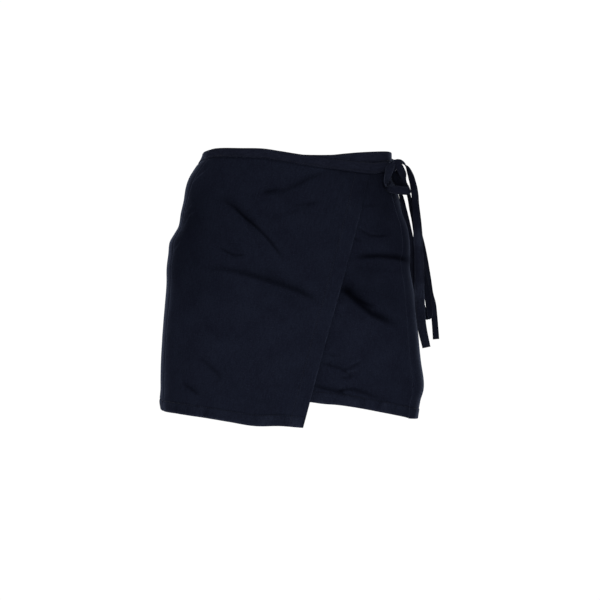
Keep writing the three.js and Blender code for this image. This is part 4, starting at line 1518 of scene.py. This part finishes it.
@dataclass
class Waistband:
    """The folded waistband, wound once and a third, which goes on as the tie to the knot."""

    thickness: float = 2.4
    proud: float = 0.6
    lead_end: float = 71.5
    lead_height: float = 13.0
    knot_drop: float = 16.2
    per_degree: float = 2.4

    @property
    def edge(self) -> float:
        """The angle, past 360, at which the band goes on beyond the over panel."""
        return float(WRAP.over_edge(20.0)) + 360

    def lead(self, wound: Array) -> Array:
        """How far the band has turned into the tie, from 0 to 1."""
        return smooth((wound - self.edge) / (self.lead_end + 360 - self.edge))

    def path(self, wound: Array) -> tuple[Array, Array, Array, Array]:
        """The band's way round the waist.

        Args:
            wound: angles from the hidden end on, past 360.

        Returns:
            The angle, the drop of its middle, half its height and its offset.
        """
        turn = 360 + float(WRAP.left_seam(0.0))
        edge = self.edge
        over = wound > turn
        angle = np.where(over, wound - 360, wound)
        line = np.where(over, read(OVER_LINE, angle), read(WAIST_LINE, angle))
        height = read(BAND_HEIGHT, wound)
        middle = height / 2 - line
        lead = self.lead(wound)
        last = float(read(BAND_HEIGHT, np.array(edge))) / 2 - float(read(OVER_LINE, np.array(edge - 360)))
        middle = np.where(wound > edge, mix(last, self.knot_drop, lead), middle)
        half = mix(height, self.lead_height, lead) / 2
        lift = np.where(over, WRAP.overlap_lift * smooth((wound - turn) / WRAP.ramp), 0)
        return angle, middle, half, lift + self.proud

    def faces(self, wound: Array, across: Array, up: Array) -> Array:
        """Points on the band at a share of its height, on its outside or inside.

        Args:
            wound: angles from the hidden end on, past 360.
            across: shares of the width, from 1 to -1.
            up: 1 on the outside and -1 on the inside.

        Returns:
            The points.
        """
        angle, middle, half, offset = self.path(wound)
        x = wound * self.per_degree
        lead = self.lead(wound)
        low = np.clip(-across, 0, 1)
        pucker = PUCKER.read(x, 0 * x + 7) * (0.35 + 0.65 * low) + FINE_RIPPLE.read(x, across * 7)
        sewn = -0.35 * near(across + 0.72, 0.09) - 0.25 * near(across - 0.8, 0.09)
        gather = -0.9 * lead * (near(across - 0.25, 0.14) + near(across + 0.3, 0.16))
        join = -0.5 * near(wound - self.edge, 0.35)
        depth = self.thickness / 2
        outward = offset - depth + up * depth + (up > 0) * (pucker + sewn + gather + join)
        return FORM.point(angle, middle - across * half, outward)

    def build(self) -> bpy.types.Object:
        """Makes the band and the tie's first stretch in one.

        Returns:
            The piece.
        """
        start = float(WRAP.under_edge(0.0))
        edge = self.edge
        wound = start + spaced(self.lead_end + 360 - start, 1.0, [(edge - start, 1.2, 0.25)])
        across, up = profile(12)
        rings = self.faces(wound[:, None], across[None, :], up[None, :])
        worn = smooth(BAND_PATCHES.read(wound * self.per_degree, 0 * wound) * 0.8 + 0.5)[:, None]
        fade = np.clip(near(1 - across, 0.12), 0, 1)[None, :] * (0.08 + 0.24 * worn)
        fade = fade + 0.14 * (up > 0)[None, :] * (0.4 + 0.6 * worn)
        # Painted shade: a shadow line along the upper edge where the band lies over the band beneath, which
        # also takes the wear off there, shade in the lead's gathers and in the groove of the lower stitched
        # line, over a slight even darkening.
        lead = smooth((wound - edge + 12) / 30)[:, None]
        crossing_shadow = smooth((wound - 350) / 30)[:, None] * near(1 - across, 0.1)[None, :]
        folds = near(across - 0.25, 0.12) + near(across + 0.3, 0.14)
        seam = 0.22 * near(across + 0.72, 0.1)[None, :]
        painted_shade = np.clip(0.12 + seam + 0.5 * crossing_shadow + 0.45 * lead * folds[None, :], 0, 0.8)
        return strap_piece("waistband_twill", rings, np.clip(fade * (1 - crossing_shadow), 0, 1), painted_shade)

    def dress(self, piece: bpy.types.Object, twill: bpy.types.Material, thread: bpy.types.Material) -> None:
        """Gives the band its finish and its two lines of stitches.

        Args:
            piece: the piece.
            twill: the cloth's finish.
            thread: the stitches' finish.
        """
        start = float(WRAP.under_edge(0.0))
        wound = np.linspace(start + 0.5, self.lead_end + 359, 2600)
        runs = []
        for across in (-0.72, 0.8):
            points = self.faces(wound, across + 0 * wound, 1 + 0 * wound)
            inside = self.faces(wound, across + 0 * wound, -1 + 0 * wound)
            facing = points - inside
            runs.append((points, facing / np.linalg.norm(facing, axis=1, keepdims=True)))
        sewn = stitches("waistband_stitches", runs)
        piece.data.materials.append(twill)
        sewn.data.materials.append(thread)
        dress_strap(piece, sewn, ["waistband", "tie_lead"])


@dataclass
class TieStrap:
    """One stretch of a folded tie, swept along its table's rows."""

    name: str
    node: str
    rows: Table
    hangs_from: tuple[str, ...] = ("knot_wrap",)
    width: float = 12
    thickness: float = 1.7
    seed: int = 31
    per_row: float = 18.0
    turns: Table = ((0, 0), (1, 0))
    worn: Table = ((0, 0.5), (1, 0.5))
    # Painted shade along the strap: darker where it lies in shadow inside a loop or behind other strands, and
    # a little darker all along.
    dark: Table = ((0, 0.15), (1, 0.15))
    # Painted highlight: how much lines along the strap's face are lightened, for the glint on a lit fold.
    painted_highlight: Table = ((0, 0), (1, 0))

    def curve(self, at: Array, columns: slice) -> Array:
        """A smooth curve through some of the rows' columns.

        Args:
            at: places from 0 to the number of rows less one.
            columns: the columns that make one point.

        Returns:
            A point for each place.
        """
        points = np.array([row[columns] for row in self.rows], float)
        points = np.vstack([2 * points[0] - points[1], points, 2 * points[-1] - points[-2]])
        i = np.clip(np.floor(at).astype(int), 0, len(self.rows) - 2)
        t = (at - i)[:, None]
        a, b, c, d = (points[i + k] for k in range(4))
        return b + 0.5 * t * (c - a + t * (2 * a - 5 * b + 4 * c - d + t * (3 * (b - c) + d - a)))

    def frame_at(self, at: Array) -> tuple[Array, Array, Array]:
        """Middle, half width and facing direction along the strap.

        Args:
            at: places from 0 to the number of rows less one.

        Returns:
            A point and two directions for each place.
        """
        step = 1e-3
        middle = self.curve(at, slice(0, 3))
        last = len(self.rows) - 1
        ahead = self.curve(np.clip(at + step, 0, last), slice(0, 3))
        ahead = ahead - self.curve(np.clip(at - step, 0, last), slice(0, 3))
        ahead /= np.linalg.norm(ahead, axis=1, keepdims=True)
        ways = np.array([row[3:6] for row in self.rows], float)
        ways /= np.linalg.norm(ways, axis=1, keepdims=True)
        rows = tuple((*row[:3], *way, row[6]) for row, way in zip(self.rows, ways))
        width = TieStrap("", "", rows).curve(at, slice(3, 6))
        width -= (width * ahead).sum(1, keepdims=True) * ahead
        width /= np.linalg.norm(width, axis=1, keepdims=True)
        turn = np.radians(read(self.turns, at))[:, None]
        width = width * np.cos(turn) + np.cross(ahead, width) * np.sin(turn)
        half = self.curve(at, slice(6, 7)) * self.width / 2
        return middle, width * half, np.cross(ahead, width)

    def points(self, at: Array, across: Array, up: Array) -> Array:
        """Points on the strap at shares of its width, on its face or its back.

        Args:
            at: places from 0 to the number of rows less one.
            across: shares of the width, from 1 to -1.
            up: 1 on the outside and -1 on the inside.

        Returns:
            The points.
        """
        middle, half, facing = self.frame_at(at)
        length = at[:, None] * self.per_row
        wave = Ripple(self.seed, 14, 9, 0.32).read(length, across * 6)
        cup = 0.55 * (across**2 - 0.4) * Ripple(self.seed + 1, 60, 60, 1.0).read(length, 0 * across)
        sewn = -0.2 * near(np.abs(across) - 0.78, 0.1)
        edge = 1 + 0.05 * Ripple(self.seed + 2, 11, 50, 1.0).read(length, np.sign(across) * 90)
        rise = up * (self.thickness / 2 + sewn) + wave + cup
        places = middle[:, None, :] + half[:, None, :] * (across * edge)[..., None]
        return places + facing[:, None, :] * rise[..., None]

    def build(self) -> bpy.types.Object:
        """Makes the strap.

        Returns:
            The piece.
        """
        last = len(self.rows) - 1
        at = np.linspace(0, last, last * 7 + 1)
        across, up = profile(9, 7.0)
        across, up = np.broadcast_arrays(across[None, :], np.broadcast_to(up, (len(at), len(up))))
        rings = self.points(at, across, up)
        worn = smooth(Ripple(self.seed + 3, 18, 30, 1.0).read(at[:, None] * self.per_row, across) + 0.4)
        fade = near(1 - np.abs(across), 0.14) * (0.08 + 0.35 * worn) + 0.12 * worn
        fade = fade * read(self.worn, at)[:, None]
        # Painted highlight along two lines of the face.
        highlight_lines = near(across + 0.5, 0.1) + 0.2 * near(across + 0.1, 0.3)
        fade = fade + read(self.painted_highlight, at)[:, None] * highlight_lines * (0.4 + 0.6 * worn)
        # Painted shade from the dark table.
        dark = read(self.dark, at)[:, None] + 0 * across
        return strap_piece(self.name, rings, np.clip(fade, 0, 1), dark)

    def dress(self, piece: bpy.types.Object, twill: bpy.types.Material, thread: bpy.types.Material) -> None:
        """Gives the strap its finish and its edge stitches.

        Args:
            piece: the piece.
            twill: the cloth's finish.
            thread: the stitches' finish.
        """
        last = len(self.rows) - 1
        at = np.linspace(0.15, last - 0.05, last * 12)
        runs = []
        for across in (-0.78, 0.78):
            for up in (-1.0, 1.0):
                points = self.points(at, np.full((len(at), 1), across), np.full((len(at), 1), up))[:, 0]
                runs.append((points, self.frame_at(at)[2] * up))
        sewn = stitches(f"{self.name}_stitches", runs, 2.8)
        piece.data.materials.append(twill)
        sewn.data.materials.append(thread)
        middle = self.curve(np.linspace(0, last, 400), slice(0, 3))
        dress_strap(piece, sewn, [self.node])


@dataclass
class BowKnot:
    """The bow's knot: a gathered body with a strap wrapped round it."""

    centre: tuple[float, float, float] = (140.3, -37.2, -14.4)
    reach: tuple[float, float, float] = (7.6, 7.6, 7.6)
    roundness: float = 0.8
    wrap_width: float = 8.5

    def build(self) -> list[bpy.types.Object]:
        """Makes the gathered body and its wrap."""
        return [self.body(), self.wrap()]

    def body(self) -> bpy.types.Object:
        """The gathered body.

        Returns:
            The piece.
        """
        bm = bmesh.new()
        bmesh.ops.create_uvsphere(bm, u_segments=56, v_segments=28, radius=1.0, calc_uvs=False)
        fade = bm.verts.layers.float.new("fade")
        for vert in bm.verts:
            x, y, z = vert.co
            turn = math.atan2(z, x)
            tuck = 0.09 * math.sin(5 * turn + 2.2 * y) * (1 - y * y) + 0.05 * math.sin(11 * turn - 3 * y)
            scale = 0.95 + tuck * 0.8
            round_it = [math.copysign(abs(c) ** self.roundness, c) * scale for c in (x, y, z)]
            place = [c + r * s for c, r, s in zip(self.centre, self.reach, round_it)]
            vert.co = Vector(place) * MM
            vert[fade] = 0.3 * max(0.0, tuck * 6)
        uv = bm.loops.layers.uv.new("flat")
        for face in bm.faces:
            face.smooth = True
            for loop in face.loops:
                loop[uv].uv = (loop.vert.co.x, loop.vert.co.z + 0.6 * loop.vert.co.y)
        return add_piece("knot_body", bm)

    def wrap(self) -> bpy.types.Object:
        """The strap round the body, from its front over the top to behind.

        Returns:
            The piece.
        """
        turn = np.linspace(math.radians(-215), math.radians(60), 64)
        lean = 0.35
        centre = np.array(self.centre)
        way = np.stack([0.35 * np.sin(turn), -np.cos(turn), np.sin(turn)], axis=1)
        middle = centre + way * (np.array(self.reach) + 0.7)
        axis = np.array([1.0, 0.0, -lean]) / math.hypot(1, lean)
        facing = way / np.linalg.norm(way, axis=1, keepdims=True)
        axis = np.cross(np.cross(facing, axis), facing)
        axis /= np.linalg.norm(axis, axis=1, keepdims=True)
        across, up = profile(9, 6.0)
        fold = 0.35 * np.cos(across * 7)[None, :] * np.ones((len(turn), 1))
        rise = up[None, :] * 0.9 + fold - 1.2 * (across**2)[None, :]
        rings = middle[:, None] + axis[:, None] * (across[None, :, None] * self.wrap_width / 2)
        rings = rings + facing[:, None] * rise[..., None]
        fade = 0.25 * near(1 - np.abs(across), 0.15)[None, :] * np.ones((len(turn), 1))
        return strap_piece("knot_wrap", rings, fade + 0.1, 0.1 + 0 * fade)

    def dress(self, pieces: Sequence[bpy.types.Object], twill: bpy.types.Material) -> None:
        """Gives the knot its finish.

        Args:
            pieces: the body and its wrap.
            twill: the cloth's finish.
        """
        body, wrap = pieces
        body.data.materials.append(twill)
        wrap.data.materials.append(twill)
        join_body(body)
        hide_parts("tie_knot")
        join_body(wrap)
        log.info("knot: %d faces", len(body.data.polygons) + len(wrap.data.polygons))


# Soft lights: name, place in metres, size and power.
LIGHTS = (
    ("key", (0.5, -3.2, 1.5), 1.2, 43), ("above", (-0.2, -1.5, 3.0), 1.2, 22),
    ("below", (0.4, -2.6, -0.85), 1.2, 9), ("left", (-2.4, 1.8, 0.6), 1.2, 26),
    ("right", (2.2, 2.3, 0.6), 1.2, 8), ("behind", (0.1, 3.1, 1.7), 1.3, 34),
)


@dataclass
class Studio:
    """Camera, soft lights and a pale floor."""

    eye: tuple[float, float, float] = (5.8, -2200, -205.9)
    lens: float = 91.03
    floor_drop: float = 900

    def build(self) -> None:
        """Makes the studio."""
        camera = bpy.data.objects.new("camera", bpy.data.cameras.new("camera"))
        camera.data.lens = self.lens
        camera.data.sensor_width = 36
        camera.location = Vector(self.eye) * MM
        camera.rotation_euler = (math.pi / 2, 0, 0)
        bpy.context.scene.collection.objects.link(camera)
        bpy.context.scene.camera = camera
        self.floor()
        self.world()
        for name, place, size, power in LIGHTS:
            self.area(name, place, size, power)
        bpy.context.scene.view_settings.view_transform = "Standard"

    def floor(self) -> None:
        """A wide pale floor."""
        bm = bmesh.new()
        bmesh.ops.create_circle(bm, cap_ends=True, segments=96, radius=1.15)
        bmesh.ops.translate(bm, verts=bm.verts, vec=(0, 0, -self.floor_drop * MM))
        floor = add_piece("floor", bm)
        made = bpy.data.materials.new("pale_floor")
        made.use_nodes = True
        shader = made.node_tree.nodes["Principled BSDF"]
        shader.inputs["Base Color"].default_value = (0.7, 0.7, 0.7, 1)
        shader.inputs["Roughness"].default_value = 0.9
        floor.data.materials.append(made)

    def world(self) -> None:
        """A surround that is white at eye level, dim above and pale below."""
        made = bpy.data.worlds.new("surround")
        made.use_nodes = True
        tree = made.node_tree
        place = tree.nodes.new("ShaderNodeTexCoord")
        split = tree.nodes.new("ShaderNodeSeparateXYZ")
        height = tree.nodes.new("ShaderNodeMath")
        height.operation = "ABSOLUTE"
        level = self.eased(tree, (0.205, 0.27, 1.03, 0.07))
        tree.links.new(place.outputs["Generated"], split.inputs[0])
        tree.links.new(split.outputs["Z"], height.inputs[0])
        tree.links.new(height.outputs[0], level.inputs["Value"])
        below = self.eased(tree, (-0.205, -0.27, 0.0, 0.55))
        both = tree.nodes.new("ShaderNodeMath")
        tree.links.new(split.outputs["Z"], below.inputs["Value"])
        tree.links.new(level.outputs["Result"], both.inputs[0])
        tree.links.new(below.outputs["Result"], both.inputs[1])
        tree.links.new(both.outputs[0], tree.nodes["Background"].inputs["Strength"])
        tree.nodes["Background"].inputs["Color"].default_value = (1, 1, 1, 1)
        bpy.context.scene.world = made

    @staticmethod
    def eased(tree: bpy.types.NodeTree, ends: tuple[float, float, float, float]) -> bpy.types.Node:
        """A node that turns a height into a brightness, with a smooth rise or fall.

        Args:
            tree: the surround's nodes.
            ends: the heights at both ends, then the brightness there.

        Returns:
            The node.
        """
        node = tree.nodes.new("ShaderNodeMapRange")
        node.interpolation_type = "SMOOTHSTEP"
        for socket, value in zip(("From Min", "From Max", "To Min", "To Max"), ends):
            node.inputs[socket].default_value = value
        return node

    def area(self, name: str, place: tuple[float, float, float], size: float, power: float) -> None:
        """A square soft light that looks at the skirt's middle.

        Args:
            name: its name.
            place: where it stands, in metres.
            size: the length of a side.
            power: its power in watts.
        """
        data = bpy.data.lights.new(name, "AREA")
        data.size = size
        data.energy = power
        lamp = bpy.data.objects.new(name, data)
        lamp.location = place
        lamp.rotation_euler = (Vector((0, 0, -0.19)) - Vector(place)).to_track_quat("-Z", "Y").to_euler()
        bpy.context.scene.collection.objects.link(lamp)


PANEL_TWILL = Twill(
    "panel_twill", deep=(0.0062, 0.0071, 0.0138), lit=(0.0104, 0.0128, 0.0232),
    faded=(0.030, 0.036, 0.060), lint=0.26,
)
BAND_TWILL = Twill(
    "band_twill", deep=(0.0060, 0.0068, 0.0128), lit=(0.0092, 0.0108, 0.0200),
    faded=(0.032, 0.036, 0.058), lint=0.15,
)
# The faded colour is the ties' wear colour and also that of the front tail's painted highlight.
TIE_TWILL = Twill(
    "tie_twill", deep=(0.0056, 0.0064, 0.0118), lit=(0.0092, 0.0108, 0.0198),
    faded=(0.065, 0.078, 0.125), lint=0.2,
)
NAVY_THREAD = Thread("navy_thread", (0.0045, 0.0052, 0.009), (0.009, 0.0105, 0.018))


STRAPS = (
    TieStrap("side_tie", "tie_side", TIE_SIDE, ("waistband_twill",), seed=31),
    TieStrap(
        "short_loop", "tie_loop_short", LOOP_SHORT, seed=37,
        # Painted shade on the return strand inside the short loop.
        dark=((0, 0.1), (5, 0.15), (8.4, 0.1), (9.4, 0.5), (13, 0.6)),
    ),
    TieStrap(
        "long_loop", "tie_loop_long", LOOP_LONG, seed=43,
        worn=((0, 0.2), (10, 0.3), (23, 0.2)),
        # Painted shade on the long loop's strands behind the tails, most by the knot.
        dark=((0, 0.8), (2, 0.5), (9, 0.45), (12, 0.4), (16, 0.55), (23, 0.8)),
        turns=((0, 0), (2, 28), (6, 44), (10, 44), (11.5, 25), (12, 0), (12.5, -30), (14, -60),
               (17, -50), (20, -36), (23, 0)),
    ),
    TieStrap(
        "front_tail", "tie_tail_front", TAIL_FRONT, seed=49,
        # Painted highlight on the front tail's lit face, from the raised worn values and the highlight lines.
        worn=((0, 0.3), (8, 0.5), (10, 0.8), (13, 0.9), (15, 0.5), (16, 0.8)),
        painted_highlight=((0, 0), (8.5, 0.05), (9.5, 0.9), (12.5, 1.0), (13.5, 0.1), (16, 0.05)),
    ),
    TieStrap(
        "back_tail", "tie_tail_back", TAIL_BACK, seed=55,
        worn=((0, 0.4), (5, 0.2), (13, 0.4)),
        # Painted shade where the back tail hangs behind the front tail.
        dark=((0, 0.15), (3, 0.35), (8, 0.42), (11, 0.3), (13, 0.15)),
        turns=((0, 0), (6, 0), (9, 12), (13, 14)),
    ),
)


def main() -> None:
    """Builds and dresses the skirt in order, then the studio."""
    logging.basicConfig(level=logging.INFO, format="%(name)s %(message)s")
    panel_twill = PANEL_TWILL.material()
    band_twill = BAND_TWILL.material()
    tie_twill = TIE_TWILL.material()
    thread = NAVY_THREAD.material()

    band = Waistband()
    band.dress(band.build(), band_twill, thread)
    for panel in (
        BackPanel("back_panel_twill", "back_panel", 225, (0.60, 0.376), 0.21),
        UnderPanel("under_panel_twill", "under_panel", 185, (0.29, 0.376), 0.083),
        OverPanel("over_panel_twill", "over_panel", 205, (0.33, 0.38), 0.096),
    ):
        panel.dress(panel.build(), panel_twill, thread)

    knot = BowKnot()
    knot.dress(knot.build(), tie_twill)
    for strap in STRAPS:
        strap.dress(strap.build(), tie_twill, thread)

    Studio().build()


if __name__ == "__main__":
    main()
